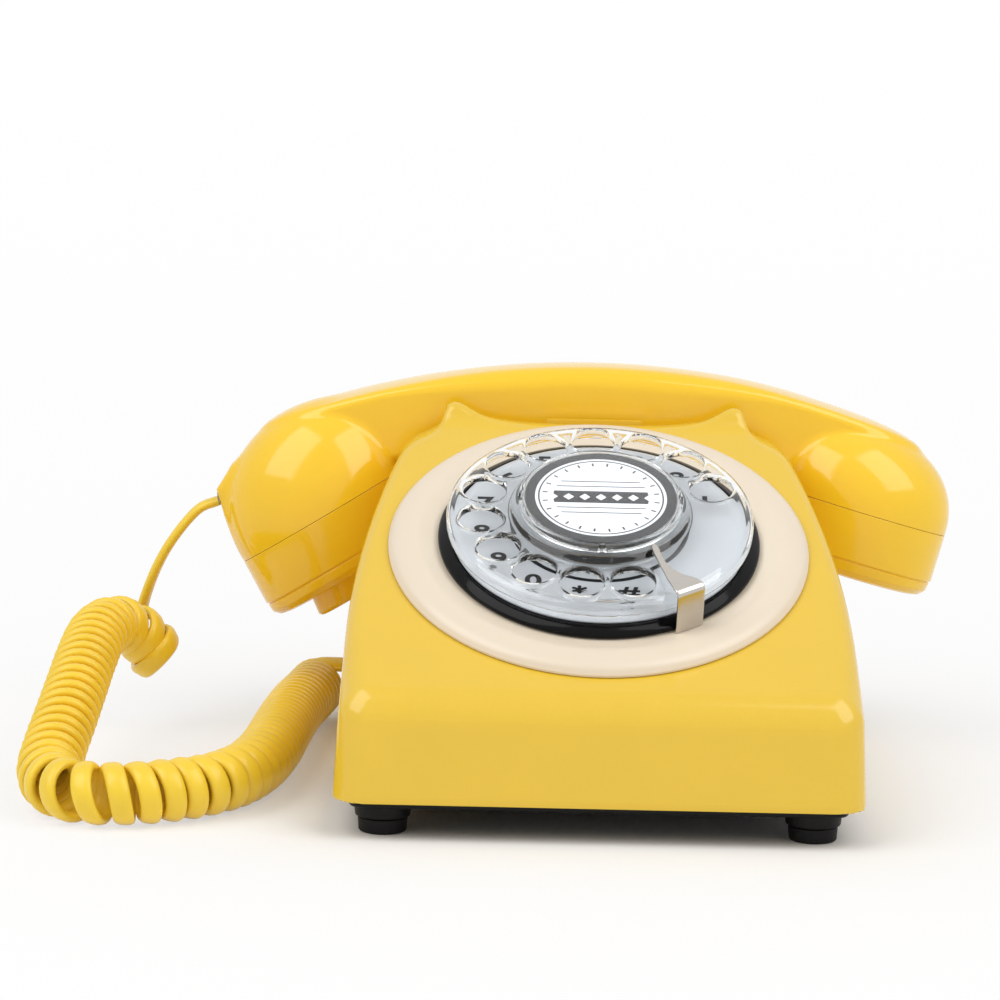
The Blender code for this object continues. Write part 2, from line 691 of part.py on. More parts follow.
def build_hook():
    """Build the cradle's plunger, its spring and the switch below."""
    front = HANDSET_Y - TROUGH_HALF + 2 * GAP
    rear = HANDSET_Y + TROUGH_HALF - 1.6 * MM
    look = (YELLOW, 0.25)
    bar = box(
        "hook_plunger",
        (-PLUNGER_HALF, front, 97.2 * MM),
        (PLUNGER_HALF, rear, 101.2 * MM),
        look,
        ORIGIN,
    )
    high = (PLUNGER_HALF, front + 2.6 * MM, 110.2 * MM)
    lip = box("plunger_lip", (-PLUNGER_HALF, front, 98 * MM), high, None, ORIGIN)
    combine(bar, lip, "UNION")
    half = 5 * MM
    low = (-half, HANDSET_Y - half, 86 * MM)
    stem = box("plunger_stem", low, (half, HANDSET_Y + half, 98 * MM), None, ORIGIN)
    combine(bar, stem, "UNION")
    spot = (0, HANDSET_Y, 0)
    coil = helix(3.2 * MM, 76.9 * MM, 84.9 * MM, 3, 8)
    tube("plunger_spring", coil, 0.5 * MM, (STEEL, 0.25, 1.0), ORIGIN, 1, location=spot)
    low = (-9 * MM, HANDSET_Y - 8 * MM, 62 * MM)
    high = (9 * MM, HANDSET_Y + 8 * MM, 76 * MM)
    box("hook_switch", low, high, (BLACK, 0.4), ORIGIN)
    low = (-9 * MM, 142 * MM, 11.5 * MM)
    high = (9 * MM, 144.5 * MM, 76 * MM)
    bracket = box("switch_bracket", low, high, (STEEL, 0.35, 1.0), ORIGIN)
    low = (-9 * MM, 130 * MM, 11.5 * MM)
    foot = box("bracket_foot", low, (9 * MM, 144 * MM, 13.5 * MM), None, ORIGIN)
    combine(bracket, foot, "UNION")
    low = (-9 * MM, 144 * MM, 59.5 * MM)
    shelf = box("bracket_shelf", low, (9 * MM, 166 * MM, 61.6 * MM), None, ORIGIN)
    combine(bracket, shelf, "UNION")


# Ringer and electrics


def build_ringer():
    """Build the two gongs, the clapper and the coil that works it."""
    low = (-42 * MM, 150 * MM, 11.5 * MM)
    frame = box("ringer_frame", low, (42 * MM, 190 * MM, 13.5 * MM), (STEEL, 0.35, 1.0), ORIGIN)
    bell = [(1.8, 47.3), (10, 47.0), (16, 44.6), (19.6, 40.5), (21, 34.0), (19.6, 34.0), (18.3, 39.8)]
    bell += [(15.2, 43.4), (9.7, 45.6), (1.8, 45.8)]
    screw = [(0, 49.8), (2.6, 49.8), (3.6, 49.0), (3.6, 47.6), (1.5, 47.6), (1.5, 34.0), (0, 34.0)]
    for side, hand in ((-1, "left"), (1, "right")):
        spot = (side * GONG_X, GONG_Y, 0)
        post = cylinder("gong_post_" + hand, 4 * MM, 12.5 * MM, 45.4 * MM, None, ORIGIN, 16, location=spot)
        combine(frame, post, "UNION")
        hole = cylinder("gong_hole_" + hand, 1.8 * MM, 33.4 * MM, 50 * MM, None, ORIGIN, 12, location=spot)
        combine(frame, hole)
        turned("gong_" + hand, bell, (BRASS, 0.25, 1.0), ORIGIN, 14, location=spot)
        turned("gong_screw_" + hand, screw, (STEEL, 0.3, 1.0), ORIGIN, 12, location=spot)
    pin = cylinder("clapper_pin", 1.2 * MM, 12.5 * MM, 43 * MM, None, CLAPPER, 12)
    combine(frame, pin, "UNION")
    ring = turned("clapper", [(1.6, 40), (3.5, 40), (3.5, 36), (1.6, 36)], (STEEL, 0.3, 1.0), CLAPPER, 16)
    rod = cylinder("clapper_rod", 0.8 * MM, 2.6 * MM, 22 * MM, None, CLAPPER, 10)
    rod.rotation_euler = (math.pi / 2, 0, 0)
    rod.location = (0, 0, CLAPPER_Z)
    combine(ring, rod, "UNION")
    shape = bmesh.new()
    bmesh.ops.create_uvsphere(shape, u_segments=8, v_segments=5, radius=3 * MM)
    ball = new_object("clapper_ball", mesh_of("clapper_ball", shape), None, CLAPPER)
    ball.location = (0, CLAPPER_BALL - CLAPPER_Y, CLAPPER_Z)
    combine(ring, ball, "UNION")
    bobbin = [(0, 16), (8.5, 16), (8.5, 14.5), (7.2, 14.5)]
    bobbin += [(7.2, -14.5), (8.5, -14.5), (8.5, -16), (0, -16)]
    place = {"location": (0, 200 * MM, 20.5 * MM), "rotation": (0, math.pi / 2, 0)}
    turned("ringer_coil", bobbin, (COPPER, 0.4), ORIGIN, 16, **place)


def build_electrics():
    """Build the circuit board and the two jacks, each a block with a plain rectangular mouth."""
    low = (-46 * MM, 58 * MM, 14 * MM)
    box("circuit_board", low, (26 * MM, 107 * MM, 15.6 * MM), (BOARD_GREEN, 0.5), ORIGIN)
    for name, jack in (("handset_jack", HANDSET_JACK), ("line_jack", LINE_JACK)):
        low, high = (Vector(corner) for corner in jack["block"])
        block = box(name, low * MM, high * MM, (BLACK, 0.4), ORIGIN)
        low, high = (Vector(corner) for corner in jack["mouth"])
        combine(block, box(name + "_mouth", low * MM, high * MM, None, ORIGIN))


# Handset


def dome_profile(height):
    """Give half of a dome on a cup's seam, in millimetres."""
    power = 1.75
    steps = 7
    points = []
    for k in range(steps + 1):
        part = math.sin(math.pi / 2 * (1 - k / steps))
        radius = CUP_RADIUS / MM * max(0.0, 1 - part**power) ** (1 / power)
        points.append((radius, height / MM * part))
    return points + [(0, 0)]


def handle_top(x):
    """Give the height of the handle's back along the handset."""
    return HANDLE_TOP - HANDLE_DROP * x * x


def handle_bottom(x):
    """Give the height of the handle's underside along the handset."""
    return HANDLE_BOTTOM - TROUGH_DROP * x * x


def handle_section(x, top, bottom, half_depth):
    """Give a rounded section of the handle."""
    power = 3.0
    count = 14
    middle = (top + bottom) / 2
    ring = []
    for k in range(count):
        angle = 2 * math.pi * (k + 0.5) / count
        across = math.copysign(abs(math.cos(angle)) ** (2 / power), math.cos(angle))
        up = math.copysign(abs(math.sin(angle)) ** (2 / power), math.sin(angle))
        ring.append((x, HANDSET_Y + half_depth * across, middle + (top - bottom) / 2 * up))
    return ring


def handle_sections():
    """Give the handle's sections from the mouthpiece's dome to the earpiece's dome."""
    ends = [(110.5, 102.4, 97.0, 4.0), (107, 105.2, 93.0, 8.0)]
    ends += [(101, 108.6, 88.0, 11.5), (93, 112.0, 87.0, 13.5)]
    left = [(-x * MM, top * MM, low * MM, half * MM) for x, top, low, half in ends]
    middle = []
    for x in (-84, -66, -44, -22, 0, 22, 44, 66, 84):
        middle.append((x * MM, handle_top(x * MM), handle_bottom(x * MM), HANDLE_HALF_DEPTH))
    drop = 1.6
    right = [(x * MM, (top - drop) * MM, low * MM, half * MM) for x, top, low, half in reversed(ends)]
    return [handle_section(*station) for station in left + middle + right]


def cap_profile(with_nub):
    """Give a cup cap's turned outline in millimetres, hung below the seam."""
    radius = CUP_RADIUS / MM
    lip = -CAP_DEPTH / MM
    face = -FACE_DEPTH / MM
    inner_floor = face + 2.4
    nub = -NUB_DEPTH / MM
    outline = [(0, inner_floor), (20.5, inner_floor), (23.4, lip + 1.0), (23.4, -0.3), (radius, -0.3)]
    outline += [(radius, lip), (radius - 1.2, lip - 0.8), (23.2, lip - 1.0), (22.6, face + 1.2), (21.2, face)]
    if with_nub:
        outline += [(9.5, face), (9.0, nub + 0.8), (8.2, nub)]
        return outline + [(0, nub)]
    return outline + [(0, face)]


def sound_holes(cap, axis, name, rings):
    """Cut rings of sound holes through a cup cap's face."""
    for radius, count in rings:
        for k in range(count):
            angle = 2 * math.pi * k / count
            spot = (radius * MM * math.cos(angle), radius * MM * math.sin(angle), 0)
            label = f"{name}_hole_{radius}_{k}"
            hole = cylinder(label, 1.1 * MM, -30 * MM, -15 * MM, None, axis, 6, location=spot)
            combine(cap, hole)


def build_handset():
    """Build the hollow handset shell, its caps, capsules, weight and cord plug."""
    shell = loft("handset_shell", handle_sections(), (HANDSET_YELLOW, 0.22), ORIGIN, True)
    for name, axis, height in (("mouth", MOUTH, MOUTH_DOME), ("ear", EAR, EAR_DOME)):
        combine(shell, turned(name + "_dome", dome_profile(height), None, axis, 22), "UNION")
    wedge = [(-108, 97), (-120, 90.3), (-125.2, 82.4), (-122.0, 74.0), (-115.2, 62.0), (-100, 76)]
    housing = plate("socket_housing", [wedge], -7 * MM, 7 * MM, None, ORIGIN)
    housing.rotation_euler = (math.pi / 2, 0, 0)
    housing.location = (0, HANDSET_Y, 0)
    combine(shell, as_mesh(housing), "UNION")
    for name, axis, reach in (("mouth", MOUTH, 1.0), ("ear", EAR, 0.8)):
        pocket = [(0, 24 * reach), (12, 22 * reach), (19, 16 * reach), (23, 4), (23.4, -1), (0, -1)]
        combine(shell, turned(name + "_pocket", pocket, None, axis, 18))
    run = [(-92, 88), (-84, 98), (-70, 105.5), (-50, 110), (-25, 113.4), (0, 114.5), (25, 113.4), (50, 110)]
    run += [(70, 105.5), (84, 99), (93, 92)]
    route = [(x * MM, HANDSET_Y, z * MM) for x, z in run]
    combine(shell, as_mesh(tube("handle_channel", route, 7 * MM, None, ORIGIN, 1)))
    low = (-6 * MM, -4.4 * MM, -3.4 * MM)
    combine(shell, box("plug_recess", low, (10 * MM, 4.4 * MM, 3.4 * MM), None, PLUG))
    mouth_cap = turned("mouthpiece_cap", cap_profile(True), (HANDSET_YELLOW, 0.22), MOUTH, 22)
    sound_holes(mouth_cap, MOUTH, "mouthpiece", ((4.5, 5),))
    ear_cap = turned("earpiece_cap", cap_profile(False), (HANDSET_YELLOW, 0.22), EAR, 22)
    sound_holes(ear_cap, EAR, "earpiece", ((6.5, 6),))
    capsule = [(0, -3), (17, -3), (20, -4.5), (20, -16), (17, -17.6), (0, -17.6)]
    turned("transmitter_capsule", capsule, (STEEL, 0.35, 1.0), MOUTH, 20)
    turned("receiver_capsule", capsule, (STEEL, 0.35, 1.0), EAR, 20)
    tube("handset_weight", route[3:8], 6 * MM, (STEEL, 0.5, 1.0), ORIGIN, 1)
    low = (-5.4 * MM, -4.0 * MM, -3.0 * MM)
    box("handset_plug", low, (3.0 * MM, 4.0 * MM, 3.0 * MM), (CLEAR, 0.1), PLUG)


# Curly cord

COIL_ROUTE = [
    (-143.5, 151.5, 25.5),
    (-149.5, 149.5, 33),
    (-157, 142, 38),
    (-161.5, 126, 37.3),
    (-163, 108, 33.5),
    (-164, 88, 28),
    (-165.2, 68, 21.8),
    (-166.5, 50, 15.8),
    (-166.5, 33, 11.2),
    (-161.5, 19.5, 10),
    (-152, 13, 10),
    (-140, 13.5, 10),
    (-127.5, 19.5, 10),
    (-116.5, 29, 10),
    (-108.5, 44, 10),
    (-104, 63, 10),
    (-101.5, 85, 10),
    (-100, 108, 10),
    (-98.5, 130, 10),
    (-96.5, 150, 10),
    (-94, 167, 10),
    (-92, 182, 10),
]
LEAD_ROUTE = [(-124.6, 158, 78.0), (-132, 158, 74.4), (-141.5, 159.5, 62), (-148, 162, 48), (-151.5, 164, 34)]
START_SIDE = (-0.78, 0.0, -0.62)
TAIL_END = (-70.3, 182, 18)


def frames_along(points):
    """Carry one cross direction along a path without twist."""
    tangents = np.gradient(points, axis=0)
    tangents /= np.linalg.norm(tangents, axis=1)[:, None]
    across = np.cross(tangents[0], (0, 0, 1.0))
    across /= np.linalg.norm(across)
    normals = []
    for tangent in tangents:
        across = across - tangent * np.dot(across, tangent)
        across /= np.linalg.norm(across)
        normals.append(across)
    normals = np.array(normals)
    return normals, np.cross(tangents, normals)


def turn_count(axis):
    """Give the share of the curls wound up to each axis point: slack at the front and round the bends."""
    share = np.linspace(0, 1, len(axis))
    step = np.linalg.norm(np.gradient(axis, axis=0), axis=1)[:, None]
    tangents = np.gradient(axis, axis=0) / step
    bend = np.linalg.norm(np.gradient(tangents, axis=0) / step, axis=1)
    bend = np.convolve(np.pad(bend, 20, mode="edge"), np.ones(41) / 41, mode="valid")
    slack = 1 - LOOSE_STRETCH * np.exp(-(((share - LOOSE_SHARE) / LOOSE_SPREAD) ** 2))
    wound = np.cumsum(slack * (1 - BEND_EASE * COIL_RADIUS * bend))
    return (wound - wound[0]) / (wound[-1] - wound[0])


def coil_points():
    """Give the points of the curls along the coil's route, with straight ends of one diameter."""
    axis, _ = smooth_curve(np.array(COIL_ROUTE) * MM, 20 * CURLS)
    first, second = frames_along(axis)
    begin = math.atan2(np.dot(START_SIDE, second[0]), np.dot(START_SIDE, first[0]))
    last = math.atan2(second[-1][2], first[-1][2])
    curls = CURLS + (last - begin) / (2 * math.pi) % 1
    wanted = np.linspace(0, 1, round(curls * POINTS_PER_CURL) + 1)
    share = np.interp(wanted, turn_count(axis), np.arange(len(axis)))

    def at(values):
        return np.stack([np.interp(share, np.arange(len(axis)), values[:, k]) for k in range(3)], axis=1)

    angle = (begin + 2 * math.pi * curls * wanted)[:, None]
    around = np.cos(angle) * at(first) + np.sin(angle) * at(second)
    points = at(axis) + COIL_RADIUS * around
    start = points[0] - points[1]
    start /= np.linalg.norm(start)
    end = points[-1] - points[-2]
    end /= np.linalg.norm(end)
    reach = 2 * CORD_RADIUS
    points = np.vstack([points[0] + reach * start, points, points[-1] + reach * end])
    return points, start, end


def least_gap(points, radius):
    """Measure the least clear distance between turns that aren't next to each other on the tube."""
    fine = np.vstack([points[:-1] + (points[1:] - points[:-1]) * t for t in (0, 0.25, 0.5, 0.75)])
    order = np.concatenate([np.arange(len(points) - 1) + t for t in (0, 0.25, 0.5, 0.75)])
    least = 1.0
    for place, where in zip(fine, order):
        away = np.abs(order - where) > POINTS_PER_CURL / 2
        least = min(least, np.linalg.norm(fine[away] - place, axis=1).min())
    return least - 2 * radius


def build_cord():
    """Build the curls, the lead to the handset, and the tail and plug at the case."""
    look = (HANDSET_YELLOW, 0.35)
    coil, start, end = coil_points()
    tube("cord_curl", coil, CORD_RADIUS, look, ORIGIN, 1)
    print(f"cord_curl least gap {least_gap(coil, CORD_RADIUS) / MM:.2f} mm")
    join = coil[0] + start * 2 * GAP
    lead = [Vector(point) * MM for point in LEAD_ROUTE]
    lead += [Vector(join + start * 7 * MM), Vector(join + start * 3 * MM), Vector(join)]
    points, length = smooth_curve(lead, 15)
    tube("cord_lead", points, CORD_RADIUS, look, ORIGIN, 2)
    print(f"cord_lead length {length / MM:.0f} mm")
    begin = coil[-1] + end * 2 * GAP
    stop = Vector(TAIL_END) * MM
    inward = Vector((1, 0, 0))
    points, length = smooth_curve([begin, begin + end * 3 * MM, stop - inward * 3 * MM, stop], 8)
    tube("cord_tail", points, CORD_RADIUS, look, ORIGIN, 2)
    print(f"cord_tail length {length / MM:.0f} mm")
    box(
        "base_plug",
        (-70.0 * MM, 178.0 * MM, 15.0 * MM),
        (-50 * MM, 186.0 * MM, 21.0 * MM),
        (CLEAR, 0.1),
        ORIGIN,
    )


build_case()
build_base()
build_dial_front()
build_finger_wheel()
build_dial_works()
build_hook()
build_ringer()
build_electrics()
build_handset()
build_cord()
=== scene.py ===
"""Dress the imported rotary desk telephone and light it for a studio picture.

Shapes are worked out in case millimetres, as in the part's source: x = 0 on the middle plane, y = 0 at the
front bottom edge of the case and z = 0 on the table. CASE_ORIGIN carries them to the frame, in metres.
"""

import json
import logging
import math
from collections.abc import Callable, Iterable, Sequence
from dataclasses import dataclass
from enum import Enum

import bmesh
import bpy
import numpy as np
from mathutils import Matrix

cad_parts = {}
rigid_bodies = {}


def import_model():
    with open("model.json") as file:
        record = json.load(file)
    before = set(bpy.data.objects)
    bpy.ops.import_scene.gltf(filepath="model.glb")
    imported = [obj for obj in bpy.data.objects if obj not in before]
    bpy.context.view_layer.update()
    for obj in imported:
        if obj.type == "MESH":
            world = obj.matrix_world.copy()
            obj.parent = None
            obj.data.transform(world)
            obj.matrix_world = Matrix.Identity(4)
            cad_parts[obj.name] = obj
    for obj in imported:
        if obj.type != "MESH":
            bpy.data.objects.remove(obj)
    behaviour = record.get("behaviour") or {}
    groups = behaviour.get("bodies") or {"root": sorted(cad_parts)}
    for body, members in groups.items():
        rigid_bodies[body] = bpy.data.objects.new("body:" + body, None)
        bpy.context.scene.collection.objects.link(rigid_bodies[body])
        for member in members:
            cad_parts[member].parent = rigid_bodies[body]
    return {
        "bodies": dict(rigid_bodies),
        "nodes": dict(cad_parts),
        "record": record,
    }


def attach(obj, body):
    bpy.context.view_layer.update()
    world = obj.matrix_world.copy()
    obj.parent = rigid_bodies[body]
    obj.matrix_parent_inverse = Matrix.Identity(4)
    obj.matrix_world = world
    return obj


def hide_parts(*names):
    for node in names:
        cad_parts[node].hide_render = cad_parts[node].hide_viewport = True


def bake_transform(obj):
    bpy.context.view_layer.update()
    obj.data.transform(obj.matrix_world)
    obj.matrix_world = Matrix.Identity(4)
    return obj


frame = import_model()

import openvdb
from mathutils import Matrix, Vector

LOG = logging.getLogger("telephone")
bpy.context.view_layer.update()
MM = 0.001
CASE_ORIGIN = np.array((2.35, -107.5, 0.0))
SHARP_ANGLE = math.radians(38)

Colour = tuple[float, float, float, float]
Field = Callable[[np.ndarray, np.ndarray, np.ndarray], np.ndarray]
Outline = Sequence[tuple[float, float]]


class Body(Enum):
    """The bodies that pieces ride on."""

    BASE = "base"
    DIAL = "dial"
    PLUNGER = "plunger"
    HANDSET = "handset"


class Slot(Enum):
    """The record's material slots."""

    YELLOW = "yellow_plastic"
    HANDSET = "handset_plastic"
    CORD = "cord_jacket"
    CREAM = "cream_plastic"
    BLACK_GLOSS = "black_gloss"
    BLACK_MATTE = "black_matte"
    GREY = "grey_plastic"
    CLEAR = "clear_plastic"
    PRINTED = "printed_plate"
    NICKEL = "nickel"
    BRASS = "brass"
    STEEL = "steel"
    WINDING = "coil_winding"
    BOARD = "board"
    RUBBER = "rubber"


def ink(red: float, green: float, blue: float) -> Colour:
    """Turn a printed colour of 0 to 255 into linear light."""
    shares = [c / 255 for c in (red, green, blue)]
    linear = [s / 12.92 if s < 0.04045 else ((s + 0.055) / 1.055) ** 2.4 for s in shares]
    return (*linear, 1.0)


# Shader maths


class Wire:
    """A socket of a material, so that shader maths reads as Python."""

    def __init__(self, graph: "Graph", socket: bpy.types.NodeSocket) -> None:
        """Keep the socket and its graph."""
        self.graph = graph
        self.socket = socket

    def maths(self, operation: str, *values: "Wire | float") -> "Wire":
        """Add one Math node over the values."""
        return self.graph.add("ShaderNodeMath", {"operation": operation}, dict(enumerate(values)))

    def __add__(self, other: "Wire | float") -> "Wire":
        """Add."""
        return self.maths("ADD", self, other)

    __radd__ = __add__

    def __sub__(self, other: "Wire | float") -> "Wire":
        """Subtract."""
        return self.maths("SUBTRACT", self, other)

    def __rsub__(self, other: "Wire | float") -> "Wire":
        """Subtract this from a number."""
        return self.maths("SUBTRACT", other, self)

    def __mul__(self, other: "Wire | float") -> "Wire":
        """Multiply."""
        return self.maths("MULTIPLY", self, other)

    __rmul__ = __mul__

    def __truediv__(self, other: "Wire | float") -> "Wire":
        """Divide."""
        return self.maths("DIVIDE", self, other)

    def __rtruediv__(self, other: "Wire | float") -> "Wire":
        """Divide a number by this."""
        return self.maths("DIVIDE", other, self)

    def __mod__(self, other: "Wire | float") -> "Wire":
        """Give the remainder, never below zero."""
        return self.maths("FLOORED_MODULO", self, other)

    def __or__(self, other: "Wire | float") -> "Wire":
        """Give the larger, which joins two masks."""
        return self.maths("MAXIMUM", self, other)

    __ror__ = __or__

    def __and__(self, other: "Wire | float") -> "Wire":
        """Give the smaller, which keeps what two masks share."""
        return self.maths("MINIMUM", self, other)

    __rand__ = __and__

    def __abs__(self) -> "Wire":
        """Drop the sign."""
        return self.maths("ABSOLUTE", self)

    def below(self, edge: "Wire | float", soft: float) -> "Wire":
        """Give 1 below an edge and 0 above it, with a soft step."""
        return ((edge - self) / soft + 0.5) & 1.0 | 0.0


class Graph:
    """The node tree of one material or world."""

    def __init__(self, owner: bpy.types.Material | bpy.types.World) -> None:
        """Start an empty tree on a material or a world."""
        owner.use_nodes = True
        self.owner = owner
        self.tree = owner.node_tree
        self.tree.nodes.clear()

    def add(
        self,
        kind: str,
        settings: dict[str, object] | None = None,
        sockets: dict[str | int, object] | None = None,
        output: str | int = 0,
    ) -> Wire:
        """Add one node of any kind.

        Args:
            kind: the node's type.
            settings: attributes, set first.
            sockets: values or wires by socket name or number.
            output: the output to give back.

        Returns:
            The chosen output.
        """
        node = self.tree.nodes.new(kind)
        for key, value in (settings or {}).items():
            setattr(node, key, value)
        for key, value in (sockets or {}).items():
            if isinstance(value, Wire):
                self.tree.links.new(value.socket, node.inputs[key])
            else:
                node.inputs[key].default_value = value
        return Wire(self, node.outputs[output] if len(node.outputs) else node.inputs[0])

    def place(self) -> Wire:
        """Give the point on the piece in its own metres."""
        return self.add("ShaderNodeTexCoord", output="Object")

    def noise(self, point: Wire, scale: float, detail: float = 2.0) -> Wire:
        """Give noise from 0 to 1 at a scale in cells per metre."""
        return self.add("ShaderNodeTexNoise", {}, {"Vector": point, "Scale": scale, "Detail": detail}, 0)

    def vector(self, operation: str, *values: object) -> Wire:
        """Add one Vector Math node over vectors."""
        value_out = operation in ("DOT_PRODUCT", "LENGTH", "DISTANCE")
        sockets = dict(enumerate(values))
        return self.add("ShaderNodeVectorMath", {"operation": operation}, sockets, int(value_out))

    def mix(self, share: "Wire | float", first: object, second: object) -> Wire:
        """Mix two colours."""
        return self.add("ShaderNodeMix", {"data_type": "RGBA"}, {0: share, 6: first, 7: second}, 2)

    def bump(self, height: Wire, depth: float) -> Wire:
        """Turn a height of 0 to 1 into a surface direction, with its depth in metres."""
        return self.add("ShaderNodeBump", {}, {"Strength": 1.0, "Distance": depth, "Height": height})

    def looked_at(self) -> Wire:
        """Give 1 for what the camera sees, straight or by way of gloss and glass, and 0 for light."""
        rays = ("Is Camera Ray", "Is Glossy Ray", "Is Transmission Ray")
        camera, gloss, glass = (self.add("ShaderNodeLightPath", output=ray) for ray in rays)
        return camera | gloss | glass

    def close(self, shader: Wire) -> None:
        """Wire the shader to the tree's output."""
        kind = "World" if isinstance(self.owner, bpy.types.World) else "Material"
        self.add("ShaderNodeOutput" + kind, {}, {"Surface": shader})


class Finish:
    """One finish, mixed once and shared by its pieces."""

    name: str

    def material(self) -> bpy.types.Material:
        """Give the finish's material."""
        known = bpy.data.materials.get(self.name)
        if known:
            return known
        made = bpy.data.materials.new(self.name)
        graph = Graph(made)
        graph.close(self.mixed(graph))
        return made

    def mixed(self, graph: Graph) -> Wire:
        """Lay the finish's nodes, and give its shader."""
        raise NotImplementedError


@dataclass(frozen=True)
class MouldedPlastic(Finish):
    """Moulded plastic with faint mottling, mould grain and handling marks."""

    name: str
    colour: Colour
    roughness: float
    mottle: float = 0.04
    smudge: float = 0.05
    grain: float = 900.0
    grain_depth: float = 0.000012
    ior: float = 1.5

    def mixed(self, graph: Graph) -> Wire:
        """Lay the plastic's nodes."""
        point = graph.place()
        cloud = graph.noise(point, 45.0, 3.0)
        speck = graph.noise(point, 700.0, 2.0)
        deep = tuple(c * (1 - 2 * self.mottle) for c in self.colour[:3]) + (1.0,)
        tone = graph.mix(cloud * 0.7 + speck * 0.3, self.colour, deep)
        rubbed = graph.noise(point, 120.0, 5.0)
        rough = self.roughness + self.smudge * (rubbed * 2.0 - 1.0)
        grain = graph.noise(point, self.grain, 1.0)
        sockets = {
            "Base Color": tone,
            "Roughness": rough,
            "IOR": self.ior,
            "Normal": graph.bump(grain, self.grain_depth),
        }
        return graph.add("ShaderNodeBsdfPrincipled", {}, sockets)


@dataclass(frozen=True)
class ClearPlastic(Finish):
    """Clear moulded plastic that lets the light through to what lies under it."""

    name: str
    tint: Colour
    roughness: float = 0.03

    def mixed(self, graph: Graph) -> Wire:
        """Lay the clear plastic's nodes."""
        point = graph.place()
        rubbed = graph.noise(point, 260.0, 4.0)
        flow = graph.noise(point, 60.0, 1.0)
        sockets = {
            "Base Color": self.tint,
            "Roughness": self.roughness + 0.03 * rubbed,
            "IOR": 1.49,
            "Transmission Weight": 1.0,
            "Normal": graph.bump(flow, 0.00002),
        }
        body = graph.add("ShaderNodeBsdfPrincipled", {}, sockets)
        passing = graph.add("ShaderNodeBsdfTransparent", {}, {"Color": (0.93, 0.95, 0.96, 1.0)})
        shadow = graph.add("ShaderNodeLightPath", output="Is Shadow Ray")
        return graph.add("ShaderNodeMixShader", {}, {0: shadow, 1: body, 2: passing})


@dataclass(frozen=True)
class PlatedMetal(Finish):
    """Metal with a fine brushed grain along one direction."""

    name: str
    colour: Colour
    roughness: float
    brush: tuple[float, float, float] = (300.0, 300.0, 4000.0)

    def mixed(self, graph: Graph) -> Wire:
        """Lay the metal's nodes."""
        point = graph.vector("MULTIPLY", graph.place(), self.brush)
        streak = graph.noise(point, 1.0, 3.0)
        worn = graph.noise(graph.place(), 90.0, 3.0)
        dull = tuple(c * 0.82 for c in self.colour[:3]) + (1.0,)
        sockets = {
            "Base Color": graph.mix(worn * 0.6 + streak * 0.4, self.colour, dull),
            "Metallic": 1.0,
            "Roughness": self.roughness + 0.12 * streak,
            "Normal": graph.bump(streak, 0.00001),
        }
        return graph.add("ShaderNodeBsdfPrincipled", {}, sockets)


@dataclass(frozen=True)
class CordJacket(Finish):
    """Soft extruded jacket of the curly cord, with faint darker mottling at random."""

    name: str
    colour: Colour

    def mixed(self, graph: Graph) -> Wire:
        """Lay the jacket's nodes."""
        point = graph.place()
        cloud = graph.noise(point, 70.0, 3.0)
        skin = graph.noise(point, 1600.0, 2.0)
        deep = tuple(c * 0.86 for c in self.colour[:3]) + (1.0,)
        sockets = {
            "Base Color": graph.mix(cloud, self.colour, deep),
            "Roughness": 0.27 + 0.14 * skin,
            "Normal": graph.bump(skin, 0.00003),
        }
        return graph.add("ShaderNodeBsdfPrincipled", {}, sockets)


@dataclass(frozen=True)
class DialPlane:
    """The plane of the dial in frame metres, for prints that follow its middle."""

    centre: tuple[float, float, float]
    rise: tuple[float, float, float]
    axis: tuple[float, float, float]

    def spread(self, graph: Graph) -> tuple[Wire, Wire]:
        """Give the across and up-slope distances from the dial's middle, in millimetres."""
        away = graph.vector("SUBTRACT", graph.place(), self.centre)
        across = graph.vector("DOT_PRODUCT", away, (1.0, 0.0, 0.0)) * 1000.0
        up = graph.vector("DOT_PRODUCT", away, self.rise) * 1000.0
        return across, up


@dataclass(frozen=True)
class PrintedPlate(Finish):
    """Pale enamelled number plate with a black band about its hub."""

    name: str
    plane: DialPlane
    ground: Colour
    ink: Colour
    band: tuple[float, float] = (26.4, 27.9)

    def mixed(self, graph: Graph) -> Wire:
        """Lay the plate's nodes."""
        across, up = self.plane.spread(graph)
        radius = across.maths("SQRT", across * across + up * up)
        printed = radius.below(self.band[1], 0.15) & (1.0 - radius.below(self.band[0], 0.15))
        cloud = graph.noise(graph.place(), 120.0, 3.0)
        deep = tuple(c * 0.95 for c in self.ground[:3]) + (1.0,)
        ground = graph.mix(cloud, self.ground, deep)
        sockets = {
            "Base Color": graph.mix(printed, ground, self.ink),
            "Roughness": 0.3 + 0.1 * cloud,
        }
        return graph.add("ShaderNodeBsdfPrincipled", {}, sockets)


